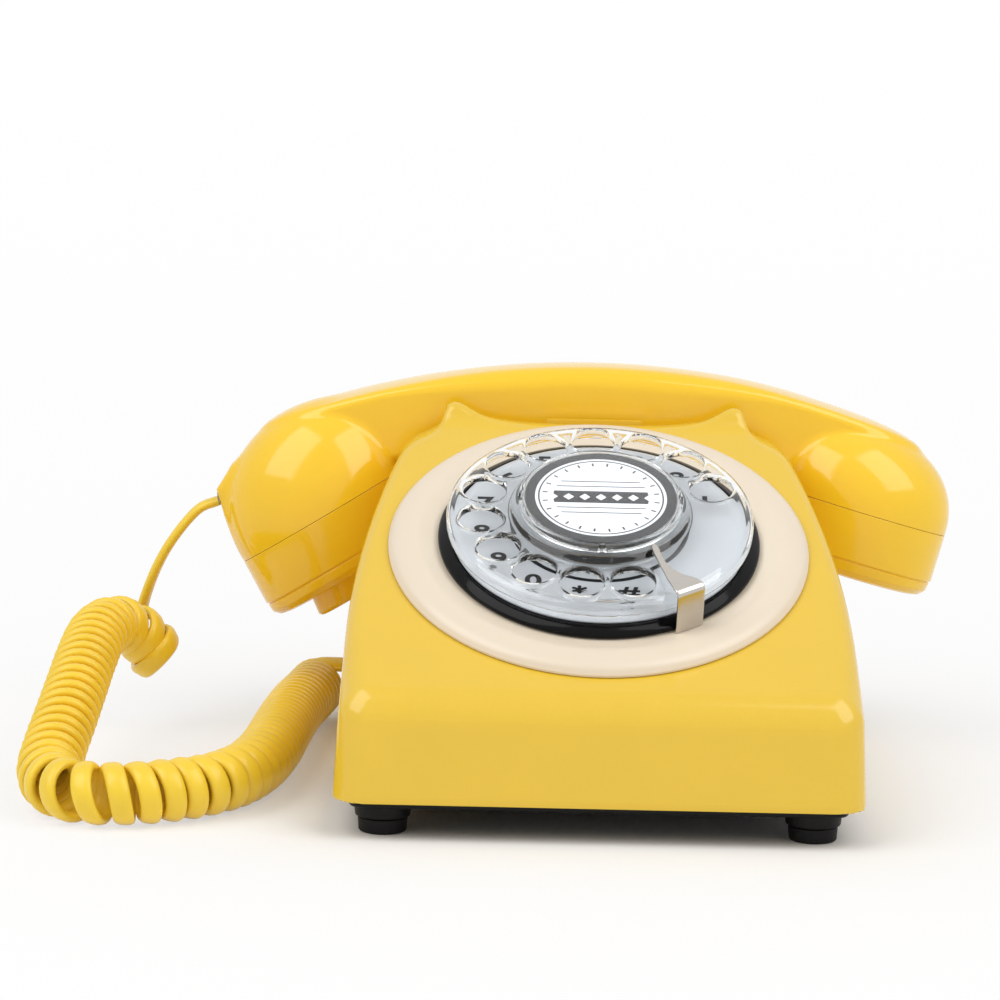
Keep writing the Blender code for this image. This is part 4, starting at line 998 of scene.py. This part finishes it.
@dataclass
class Case:
    """Wedge-shaped yellow case with the cradle, its base plate and feet."""

    bottom: float = 11.2
    half: float = 79.4
    depth: float = 215.0
    wall: float = 2.5
    draft: float = 0.045
    rear_lean: float = 0.30
    front_y: float = 2.6
    front_z: float = 42.3
    front_radius: float = 6.0
    slope: float = math.radians(27.48)
    crest: float = 109.0
    corner: float = 10.0
    slope_edge: float = 5.0
    rim: float = 1.8
    trough_y: float = 158.0
    trough_half: float = 19.4
    trough_radius: float = 7.0
    ceiling: float = 92.0
    cell: float = 1.3
    feet: tuple[tuple[str, float, float], ...] = (
        ("front_left", -64.5, 15.8),
        ("front_right", 64.5, 15.8),
        ("rear_left", -46.0, 196.0),
        ("rear_right", 46.0, 196.0),
    )

    def waist(self, y: np.ndarray) -> np.ndarray:
        """Give how far the side wall draws in at a depth."""
        start, turn, curve, most = 35.0, 128.0, 0.0016, 18.5
        at_turn = curve * (turn - start) ** 2
        rise = 2 * curve * (turn - start)
        reach = 2 * (most - at_turn) / rise
        past = np.clip(y - turn, 0, reach)
        near = curve * np.maximum(0, y - start) ** 2
        return np.where(y < turn, near, at_turn + rise * past - rise / reach * past**2 / 2)

    def half_width(self, y: np.ndarray, z: np.ndarray) -> np.ndarray:
        """Give the case's half width at a depth and height."""
        return self.half - self.draft * (z - self.bottom) - self.waist(y)

    def slope_y(self, z: float) -> float:
        """Give the depth of the sloping face at a height."""
        return self.front_y + (z - self.front_z) / math.tan(self.slope)

    def rear_y(self, z: np.ndarray | float) -> np.ndarray | float:
        """Give the depth of the leaning rear wall at a height."""
        return self.depth - self.rear_lean * (z - self.bottom)

    def crest_outline(self) -> list[tuple[float, float]]:
        """Give the right half of what is open above the horns and shoulders."""
        inner = [(-12, 109.0), (0, 109.0), (16, 109.2), (25, 109.6), (34, 110.8), (38.5, 112.4), (43.5, 115.1)]
        horn = [(46.0, 115.8), (48.2, 115.0), (49.5, 112.0), (50.9, 108.4)]
        shoulder = [(54.5, 106.2), (59, 104.3), (63.4, 102.0), (67, 98.8), (70, 96), (78, 91.5), (90, 86)]
        curve = smooth_curve(inner + horn + shoulder, 60)
        return [(-12, 140), *map(tuple, curve), (95, 86), (95, 140)]

    def skin(self, x: np.ndarray, y: np.ndarray, z: np.ndarray) -> np.ndarray:
        """Give the field of the solid case."""
        side = np.abs(x) - self.half_width(y, z)
        lean = self.front_y / (self.front_z - self.bottom)
        front = (lean * (z - self.bottom) - y) / math.hypot(1, lean)
        slope = (z - self.front_z - (y - self.front_y) * math.tan(self.slope)) * math.cos(self.slope)
        fence = (self.slope_y(self.crest) + 0.5 * (z - self.crest) - y) / math.hypot(1, 0.5)
        face = round_and(front, round_or(slope, fence, 2.0), self.front_radius)
        near = self.slope_edge + (self.corner - self.slope_edge) * np.exp(-((np.maximum(y, 0) / 22) ** 2))
        body = round_and(face, side, near)
        rear = (y - self.rear_y(z)) / math.hypot(1, self.rear_lean)
        body = round_and(body, rear, self.corner)
        body = round_and(body, self.bottom - z, 0.8)
        body = round_and(body, -outline_distance(np.abs(x), z, self.crest_outline()), self.rim)
        floor = 101.5 - x * x / 549
        trough = round_and(np.abs(y - self.trough_y) - self.trough_half, floor - z, self.trough_radius)
        return round_and(body, -trough, self.rim)

    def ring(self, z: float, front: float, rear: float, inset: float, arc: int = 8) -> np.ndarray:
        """Give one level outline with rounded corners between two depths."""
        radius = self.corner - inset
        quarter = np.linspace(0, math.pi / 2, arc)
        near = front + radius * (1 - np.cos(quarter))
        far = rear - radius * (1 - np.cos(quarter[::-1]))
        straight = np.linspace(front + radius, rear - radius, 10)[1:-1]
        depth = np.concatenate([near, straight, far])
        in_by = np.concatenate([radius * (1 - np.sin(quarter)), 0 * straight, radius * (1 - np.sin(quarter[::-1]))])
        half = self.half_width(depth, np.array(z)) - inset - in_by
        right = np.stack([half, depth, np.full(len(depth), z)], axis=1)
        left = right[::-1] * (-1, 1, 1)
        return np.vstack([right, left])

    def cutters(self) -> list[bpy.types.Object]:
        """Make what is taken out of the solid case."""
        inner = []
        for z in (6.2, 30.0, 38.0, 44.0, 60.0, 76.0, self.ceiling):
            front = max(self.wall + self.front_y, self.slope_y(z) + self.wall / math.sin(self.slope))
            inner.append(self.ring(z, front, self.rear_y(z) - self.wall, self.wall))
        return [
            lofted("case_inside", inner),
            block("plunger_pocket", (-16.2, 138.7, 96.3), (16.2, 176.6, 112)),
            block("stem_hole", (-5.5, 152.5, 80), (5.5, 163.5, 100)),
            rod("dial_hole", 46.8, -30, 20, (0, 0), DIAL_PLACE, 96),
            block("handset_window", (-75, 176, 12.5), (-50, 188, 23.5)),
            block("line_window", (29, 195, 12.5), (41, 225, 23.5)),
        ]

    def build_shell(self) -> None:
        """Cast the case and cut it out."""
        shell = cast("case", self.skin, (-83, -3, 8), (83, 218, 120), self.cell)
        carve(shell, self.cutters())
        posts = [rod(f"post_{x:.0f}", 6, 11.6, 42, (x, 70), np.eye(4), 24) for x in (-70.5, 70.5)]
        carve(shell, posts, "UNION")
        holes = [rod(f"post_hole_{x:.0f}", 1.8, 5, 30, (x, 70), np.eye(4), 16) for x in (-70.5, 70.5)]
        carve(shell, holes)
        dress(shell, CASE_YELLOW, Body.BASE, Slot.YELLOW, "case_shell")

    def build_base(self) -> None:
        """Build the base plate with its foot bosses, and the rubber pads."""
        levels = ((8.8, 6.0), (9.0, 5.4), (9.5, 5.0), (10.9, 5.0), (11.3, 2.9), (12.4, 2.9))
        base = lofted("base_pan", [self.ring(z, inset, self.depth - inset, inset) for z, inset in levels])
        bosses = []
        for name, x, y in self.feet:
            place = np.eye(4)
            place[:3, 3] = (x, y, 0)
            boss = eased([(0, 4.8), (8.3, 4.8), (8.8, 9.8), (0, 9.8)], 0.6)
            bosses.append(turned("boss_" + name, boss, 40, place))
            pad = eased([(0, 0), (6.6, 0), (7.2, 0.4), (7.5, 4.5), (0, 4.5)], 0.5)
            grip = turned("foot_" + name, pad, 40, place)
            dress(grip, FOOT_RUBBER, Body.BASE, Slot.RUBBER, "foot_pad_" + name)
        carve(base, bosses, "UNION")
        holes = [rod(f"plate_hole_{x:.0f}", 1.8, 5, 15, (x, 70), np.eye(4), 16) for x in (-70.5, 70.5)]
        carve(base, holes)
        dress(base, BASE_BLACK, Body.BASE, Slot.BLACK_MATTE, "base_plate")

    def build_hook(self) -> None:
        """Round the hook plunger's edges and give it the case's finish."""
        plunger = frame["nodes"]["hook_plunger"]
        soften(plunger, 0.7)
        plunger.data.materials.clear()
        plunger.data.materials.append(CASE_YELLOW.material())

    def build(self) -> None:
        """Build the case with its base and hook."""
        self.build_shell()
        self.build_base()
        self.build_hook()


def dial_place() -> np.ndarray:
    """Give the matrix of the dial's axis on the sloping face."""
    place = np.eye(4)
    place[:3, :3] = np.array(Matrix.Rotation(math.radians(27.48), 3, "X"))
    place[:3, 3] = (0, 71.8, 78.3)
    return place


DIAL_PLACE = dial_place()
DIAL_PLANE = DialPlane(
    tuple(((DIAL_PLACE[:3, 3] + CASE_ORIGIN) * MM).tolist()),
    tuple(DIAL_PLACE[:3, 1].tolist()),
    tuple(DIAL_PLACE[:3, 2].tolist()),
)
PLATE_PRINT = PrintedPlate("number_plate_print", DIAL_PLANE, ink(173, 176, 180), ink(10, 10, 12))
LABEL_PRINT = PrintedLabel("label_print", DIAL_PLANE, ink(222, 222, 226), ink(12, 12, 14))


@dataclass
class Dial:
    """Ring, cup, number plate, finger wheel, label and finger stop."""

    hole_count: int = 12
    hole_radius: float = 6.7
    hole_circle: float = 37.3
    first_hole: float = 20.5
    hole_pitch: float = 24.0
    stop_angle: float = math.radians(-59.3)
    wheel_cell: float = 0.55
    numerals: str = "1234567890*#"
    numeral_radius: float = 36.4
    numeral_shift: tuple[float, float] = (-0.6, 2.5)
    numeral_height: float = 5.8
    numeral_stretch: float = 1.3
    plate_top: float = 7.4
    wheel_outline: tuple[tuple[float, float], ...] = (
        (3.3, 18.1), (23.4, 18.1), (23.9, 17.6), (23.9, 16.4), (26.6, 16.2), (27.7, 15.4), (28.3, 14.6),
        (43.6, 14.6), (45.8, 14.0), (47.7, 12.5), (47.7, 9.0), (46.5, 9.0), (46.2, 11.2), (44.6, 12.0), (3.3, 12.0),
    )
    stop_blade: tuple[tuple[float, float, float], ...] = (
        (26.7, 1.7, 2.4), (27.0, 1.2, 2.9), (27.6, 1.0, 3.1), (28.6, 0.7, 3.0), (31.8, -0.3, 1.8), (34.7, -1.0, 1.0),
        (36.4, -1.5, 0.75), (40.3, -2.5, 0.8), (43.0, -3.2, 1.6), (44.7, -3.5, 2.5), (46.2, -3.8, 3.7),
        (47.4, -4.0, 4.6), (48.6, -4.3, 5.0), (49.7, -4.4, 5.15),
    )

    def build_ring(self) -> None:
        """Turn the cream ring, the black cup and the number plate."""
        spots = [(46.5, 2.4), (50.4, 2.4), (53, 3.0), (57, 3.95), (61, 3.7), (64, 2.75), (65.6, 1.0)]
        top = smooth_curve(spots, 30)
        ring = turned("dial_ring_cream", [*map(tuple, top), (65.6, 0.3), (46.5, 0.3)], 128, DIAL_PLACE)
        dress(ring, RING_CREAM, Body.BASE, Slot.CREAM, "dial_ring")
        cup = [(5.9, 6.1), (42.9, 6.1), (45.8, 4.85), (46.5, 5.0), (46.6, 5.9), (47.6, 5.6), (49.3, 4.8), (50.2, 4.1)]
        cup += [(50.2, 2.7), (46.2, 2.7), (46.2, -7.0), (43.5, -7.0), (43.5, 3.4), (42.0, 3.6), (5.9, 3.6)]
        rim = turned("dial_cup_black", eased(cup, 0.8), 128, DIAL_PLACE)
        dress(rim, RIM_BLACK, Body.BASE, Slot.BLACK_GLOSS, "dial_cup")
        top = self.plate_top
        face = [(8.2, top), (43.2, top), (46.2, 6.1), (46.0, 5.2), (43.0, top - 1), (8.2, top - 1)]
        plate = turned("number_plate_enamel", eased(face, 1.2), 128, DIAL_PLACE)
        dress(plate, PLATE_PRINT, Body.BASE, Slot.PRINTED, "number_plate")

    def build_numerals(self) -> None:
        """Set the numerals on the number plate, upright to the caller."""
        points, faces = [], []
        for k, mark in enumerate(self.numerals):
            angle = math.radians(self.first_hole + self.hole_pitch * k)
            curve = bpy.data.curves.new("numeral", "FONT")
            curve.body = mark
            curve.size = self.numeral_height / 0.72
            curve.offset = 0.2
            curve.extrude = 0.04
            curve.align_x = "CENTER"
            curve.align_y = "CENTER"
            text = bpy.data.objects.new("numeral", curve)
            mesh = bpy.data.meshes.new_from_object(text)
            x = self.numeral_radius * math.cos(angle) + self.numeral_shift[0]
            y = self.numeral_radius * math.sin(angle) + self.numeral_shift[1]
            start = len(points)
            stretch = (self.numeral_stretch, 1.0, 1.0)
            points += [np.array(v.co) * stretch + (x, y, self.plate_top + 0.06) for v in mesh.vertices]
            faces += [[start + i for i in face.vertices] for face in mesh.polygons]
            bpy.data.objects.remove(text)
            bpy.data.curves.remove(curve)
            bpy.data.meshes.remove(mesh)
        marks = make("dial_numerals", np.array(points), faces, DIAL_PLACE)
        dress(marks, NUMERAL_BLACK, Body.BASE, Slot.PRINTED)

    def wheel_skin(self, x: np.ndarray, y: np.ndarray, z: np.ndarray) -> np.ndarray:
        """Give the field of the finger wheel with its holes."""
        radius = np.hypot(x, y)
        disc = outline_distance(radius, z, self.wheel_edge)
        turn = np.degrees(np.arctan2(y, x)) - self.first_hole
        turn = np.where(turn < -48, turn + 360, turn)
        nearest = np.clip(np.round(turn / self.hole_pitch), 0, self.hole_count - 1) * self.hole_pitch
        angle = np.radians(self.first_hole + nearest)
        away = np.hypot(x - self.hole_circle * np.cos(angle), y - self.hole_circle * np.sin(angle))
        return round_and(disc, self.hole_radius - away, 0.9)

    def build_wheel(self) -> None:
        """Cast the clear finger wheel and turn its label and cap."""
        self.wheel_edge = eased(self.wheel_outline, 0.5, 3)
        low, high = (-49.5, -49.5, 8), (49.5, 49.5, 19.5)
        wheel = cast("finger_wheel_clear", self.wheel_skin, low, high, self.wheel_cell, DIAL_PLACE)
        dress(wheel, WHEEL_CLEAR, Body.DIAL, Slot.CLEAR, "finger_wheel")
        card = turned("label_print_card", [(0, 19.0), (23.5, 19.0), (23.5, 18.4), (0, 18.4)], 96, DIAL_PLACE)
        dress(card, LABEL_PRINT, Body.DIAL, Slot.PRINTED, "label_card")
        outline = [(0, 20.0), (24.6, 20.0), (25.5, 19.1), (25.5, 16.7), (24.2, 16.7), (24.2, 19.3), (0, 19.3)]
        cap = turned("label_cap_clear", eased(outline, 0.5), 96, DIAL_PLACE)
        notches = [
            rod(f"notch_{k}", 1.5, 16, 23, (26.2 * math.cos(a), 26.2 * math.sin(a)), DIAL_PLACE, 20)
            for k, a in enumerate((0.0, math.pi, -math.pi / 2))
        ]
        carve(cap, notches)
        dress(cap, WHEEL_CLEAR, Body.DIAL, Slot.CLEAR, "label_cap")

    def build_stop(self) -> None:
        """Bend the nickel finger stop from one strip."""
        turns = np.linspace(0.2, math.pi / 2, 6)
        bend, level = 1.5, 17.5
        spots = [(r, level, low, high) for r, low, high in self.stop_blade]
        spots += [(49.7 + bend * math.sin(a), level - bend * (1 - math.cos(a)), -4.5, 5.2) for a in turns]
        spots += [(51.2, h, -4.5, 5.2) for h in (15, 12, 9, 6, 4, 3.2, 2.8)]
        path = np.array([(r, h) for r, h, _, _ in spots])
        ahead = np.gradient(path, axis=0)
        ahead /= np.linalg.norm(ahead, axis=1)[:, None]
        rings = []
        half = 0.5
        turn = np.linspace(0, 2 * math.pi, 20, endpoint=False)
        for (r, h, low, high), (dr, dh) in zip(spots, ahead):
            wide = (low + high) / 2 + (high - low) / 2 * np.sign(np.cos(turn)) * np.abs(np.cos(turn)) ** 0.25
            thick = half * np.sign(np.sin(turn)) * np.abs(np.sin(turn)) ** 0.5
            rings.append(np.stack([r - dh * thick, wide, h + dr * thick], axis=1))
        place = DIAL_PLACE.copy()
        place[:3, :3] = DIAL_PLACE[:3, :3] @ np.array(Matrix.Rotation(self.stop_angle, 3, "Z"))
        stop = lofted("finger_stop_nickel", rings, place)
        dress(stop, STOP_NICKEL, Body.BASE, Slot.NICKEL, "finger_stop")

    def build(self) -> None:
        """Build the whole dial."""
        self.build_ring()
        self.build_numerals()
        self.build_wheel()
        self.build_stop()


@dataclass(frozen=True)
class Cup:
    """One oval cup of the handset: a full dome above its seam, and the place of the cap below it."""

    spot: tuple[float, float]
    tilt: float
    side: float
    front: float
    offset: float
    height: float
    fullness: float
    lean: float
    flare: float
    foot: float
    y: float = 158.0
    droop: float = 0.08
    radius: float = 26.0

    @property
    def inward(self) -> float:
        """Give the sign of the way to the handset's middle."""
        return -math.copysign(1.0, self.spot[0])

    def dome(self, x: np.ndarray, y: np.ndarray, z: np.ndarray) -> tuple[np.ndarray, np.ndarray, np.ndarray]:
        """Give the dome's field, the height above the seam and the distance from the cup's axis."""
        along, lift, depth = x - self.spot[0], z - self.spot[1], y - self.y
        up = along * math.sin(self.tilt) + lift * math.cos(self.tilt) + self.droop * depth
        across = along * math.cos(self.tilt) - lift * math.sin(self.tilt)
        rise = np.maximum(up, 0)
        grown = self.lean * rise / 2
        middle = self.inward * (self.offset + grown)
        flat = np.hypot((across - middle) / (self.side + grown), depth / self.front)
        share = (flat**self.fullness + (rise / self.height) ** self.fullness + 1e-9) ** (1 / self.fullness)
        return (share - 1) * self.side, up, np.hypot(across, depth)

    def place(self) -> np.ndarray:
        """Give the matrix that spreads a round cap to the oval, draws it outwards below and tips its seam."""
        place = axis_place((self.spot[0], self.y, self.spot[1]), self.tilt)
        across, depth, up = place[:3, 0].copy(), place[:3, 1].copy(), place[:3, 2].copy()
        place[:3, 3] += across * self.inward * self.offset
        place[:3, 0] = across * self.side / self.radius
        place[:3, 1] = (depth - up * self.droop) * self.front / self.radius
        place[:3, 2] = up + across * self.inward * self.flare
        return place


@dataclass
class Handset:
    """Handset that lies across the cradle, with its caps."""

    y: float = 158.0
    top: float = 127.0
    bottom: float = 102.0
    crown: float = 0.005
    cell: float = 1.0
    mouth: Cup = Cup((-93.8, 71.6), math.radians(-32), 32.0, 28.0, 6.0, 36.0, 2.05, 0.25, 0.26, 23.3)
    ear: Cup = Cup((94.9, 78.8), math.radians(15.5), 30.3, 27.5, 4.7, 28.2, 2.1, 0.3, 0.117, 24.6)
    seam: float = -0.15
    seam_gap: float = 0.12
    lip: float = 5.0
    cap_depth: float = 22.5
    wedge: tuple[tuple[float, float], ...] = (
        (-108, 97), (-120, 90.3), (-125.2, 82.4), (-122.0, 74.0), (-115.2, 62.0), (-100, 76),
    )

    def back_line(self) -> np.ndarray:
        """Give the height of the handle's back along the handset."""
        span = np.array([(x, self.top - x * x / 580) for x in range(0, 88, 6)])
        tail = [(93, 112.0), (101, 108.6), (107, 105.2), (110.5, 102.4), (114, 99.0)]
        left = smooth_curve([*map(tuple, span), *tail], 120)
        share = np.clip((left[:, 0] - 45) / 55, 0, 1)
        right = np.stack([left[:, 0], left[:, 1] - 1.6 * share**2 * (3 - 2 * share)], axis=1)
        return np.vstack([left[::-1] * (-1, 1), right[1:]])

    def side_line(self) -> np.ndarray:
        """Give the handle's half depth along half of the handset."""
        return smooth_curve([(0, 14), (40, 14), (84, 14), (93, 13.4), (101, 11.5), (107, 8), (110.5, 4), (113, 1)], 80)

    def handle(self, x: np.ndarray, y: np.ndarray, z: np.ndarray) -> np.ndarray:
        """Give the field of the handle between the cups."""
        span, depth = np.abs(x), np.abs(y - self.y)
        back, side = self.back_line(), self.side_line()
        top = np.interp(x, back[:, 0], back[:, 1]) - self.crown * depth**2
        bottom = self.bottom - x * x / 549
        half = np.interp(span, side[:, 0], side[:, 1])
        ease = np.clip((span - 25) / 50, 0, 1)
        radius = np.minimum(6.0 - 3.4 * ease * ease * (3 - 2 * ease), half * 0.9)
        out_y = depth - half + radius
        out_z = np.abs(z - (top + bottom) / 2) - (top - bottom) / 2 + radius
        outside = np.hypot(np.maximum(out_y, 0), np.maximum(out_z, 0))
        handle = outside + np.minimum(np.maximum(out_y, out_z), 0) - radius
        return round_and(handle, span - 111, 3.0)

    def skin(self, x: np.ndarray, y: np.ndarray, z: np.ndarray) -> np.ndarray:
        """Give the field of the handset's shell, which runs on a little below the seams."""
        depth = np.abs(y - self.y)
        mouth, mouth_up, mouth_away = self.mouth.dome(x, y, z)
        ear, ear_up, ear_away = self.ear.dome(x, y, z)
        crease = np.clip((depth - 7) / 6, 0, 1)
        fillet = 2.5 - 1.3 * crease * crease * (3 - 2 * crease)
        shell = round_or(round_or(self.handle(x, y, z), mouth, fillet), ear, fillet)
        socket = round_and(outline_distance(x, z, self.wedge) + 0 * y, depth - 7.0, 2.0)
        shell = round_or(shell, socket, 3.0)
        for up, away in ((mouth_up, mouth_away), (ear_up, ear_away)):
            shell = np.maximum(shell, -np.maximum(up - self.seam + 2.5, away - 44.0))
        return shell

    def channel(self) -> bpy.types.Object:
        """Make the cutter of the handle's hollow."""
        run = [(-92, 88), (-84, 98), (-70, 105.5), (-50, 110), (-25, 113.4), (0, 114.5), (25, 113.4), (50, 110)]
        run += [(70, 105.5), (84, 99), (93, 92)]
        path = np.array(run, float)
        ahead = np.gradient(path, axis=0)
        ahead /= np.linalg.norm(ahead, axis=1)[:, None]
        turn = np.linspace(0, 2 * math.pi, 10, endpoint=False)
        rings = []
        for (x, z), (dx, dz) in zip(path, ahead):
            lift = 7 * np.sin(turn)
            rings.append(np.stack([x - dz * lift, self.y + 7 * np.cos(turn), z + dx * lift], axis=1))
        return lofted("handle_channel", rings)

    def build_shell(self) -> None:
        """Cast the shell, cut it off at the seams and hollow it."""
        shell = cast("handset", self.skin, (-129, 125, 50), (124, 191, 130), self.cell)
        cutters = []
        for name, cup, reach in (("mouth", self.mouth, 1.0), ("ear", self.ear, 0.8)):
            place = cup.place()
            cutters.append(rod(name + "_seam", 30.0, -40.0, self.seam, (0, 0), place, 48))
            pocket = [(0, 24 * reach), (12, 22 * reach), (19, 16 * reach), (23, 4), (23.4, -1), (0, -1)]
            cutters.append(turned(name + "_pocket", pocket, 40, place))
        plug = axis_place((-121.2, self.y, 79.3), math.radians(159))
        cutters.append(block("plug_recess", (-6, -4.4, -3.4), (10, 4.4, 3.4), plug))
        cutters.append(self.channel())
        carve(shell, cutters)
        dress(shell, HANDSET_YELLOW, Body.HANDSET, Slot.HANDSET, "handset_shell")

    def cap_outline(self, cup: Cup, middle: Outline) -> list[tuple[float, float]]:
        """Give a cap's turned outline: its hollow, its wall down to a fine groove, and a rounded lip below.

        Args:
            cup: the cup that the cap closes.
            middle: the outline's last points, from the lip in to the axis.

        Returns:
            The closed outline as (radius, height) points.
        """
        top = self.seam - self.seam_gap
        edge = cup.foot - 0.5
        outline = [(0, -18.1), (19.0, -18.1), (21.2, -15.5), (23.4, top), (cup.radius, top)]
        outline += [(cup.foot, -16.4), (edge - 0.2, -16.7), (edge - 0.2, -16.9), (edge, -17.1)]
        for turn in np.radians((0, 30, 60, 90)):
            outline.append((edge - self.lip * (1 - math.cos(turn)), -self.cap_depth + self.lip * (1 - math.sin(turn))))
        return eased([*outline, *middle], 0.35)

    def build_caps(self) -> None:
        """Turn both cup caps and drill their sound holes."""
        low = -self.cap_depth
        nub = [(10.6, low), (10.0, low - 6.0), (9.0, low - 7.0), (0, low - 7.0)]
        for name, cup, middle, rings, node in (
            ("mouthpiece", self.mouth, nub, ((0, 1), (4.5, 6)), "mouthpiece_cap"),
            ("earpiece", self.ear, [(0, low)], ((0, 1), (4.0, 6), (8.0, 12)), "earpiece_cap"),
        ):
            place = cup.place()
            cap = turned(name, self.cap_outline(cup, middle), 96, place)
            drills = []
            for radius, count in rings:
                for k in range(count):
                    a = 2 * math.pi * k / count
                    spot = (radius * math.cos(a), radius * math.sin(a))
                    drills.append(rod(f"{name}_drill_{radius:.0f}_{k}", 1.1, -32, -15, spot, place, 16))
            carve(cap, drills)
            dress(cap, HANDSET_YELLOW, Body.HANDSET, Slot.HANDSET, node)

    def build(self) -> None:
        """Build the whole handset."""
        self.build_shell()
        self.build_caps()


@dataclass
class Works:
    """The CAD pieces that stay: their edges and finishes."""

    edge: float = 0.35

    def finish_of(self, slot: str) -> Finish:
        """Give the finish of one record slot."""
        return {
            Slot.YELLOW: CASE_YELLOW,
            Slot.HANDSET: HANDSET_YELLOW,
            Slot.CORD: JACKET_YELLOW,
            Slot.CREAM: RING_CREAM,
            Slot.BLACK_GLOSS: RIM_BLACK,
            Slot.BLACK_MATTE: BASE_BLACK,
            Slot.GREY: JACK_GREY,
            Slot.CLEAR: PLUG_CLEAR,
            Slot.PRINTED: PLATE_PRINT,
            Slot.NICKEL: STOP_NICKEL,
            Slot.BRASS: WORKS_BRASS,
            Slot.STEEL: WORKS_STEEL,
            Slot.WINDING: COIL_COPPER,
            Slot.BOARD: BOARD_GREEN,
            Slot.RUBBER: FOOT_RUBBER,
        }[Slot(slot)]

    def build(self) -> None:
        """Dress every CAD node that is still shown."""
        for part in frame["record"]["subparts"]:
            node = frame["nodes"][part["node"]]
            if node.hide_render:
                continue
            node.data.materials.clear()
            node.data.materials.append(self.finish_of(part["material_slot"]).material())
            if not node.modifiers:
                soften(node, self.edge, 2)
            LOG.info("%s keeps its CAD shape", node.name)


def main() -> None:
    """Build the studio and the telephone, piece by piece."""
    logging.basicConfig(level=logging.INFO, format="%(name)s: %(message)s")
    for maker in (Studio(), CurlyCord(), Case(), Dial(), Handset(), Works()):
        maker.build()
        LOG.info("%s is built", type(maker).__name__)


if __name__ == "__main__":
    main()
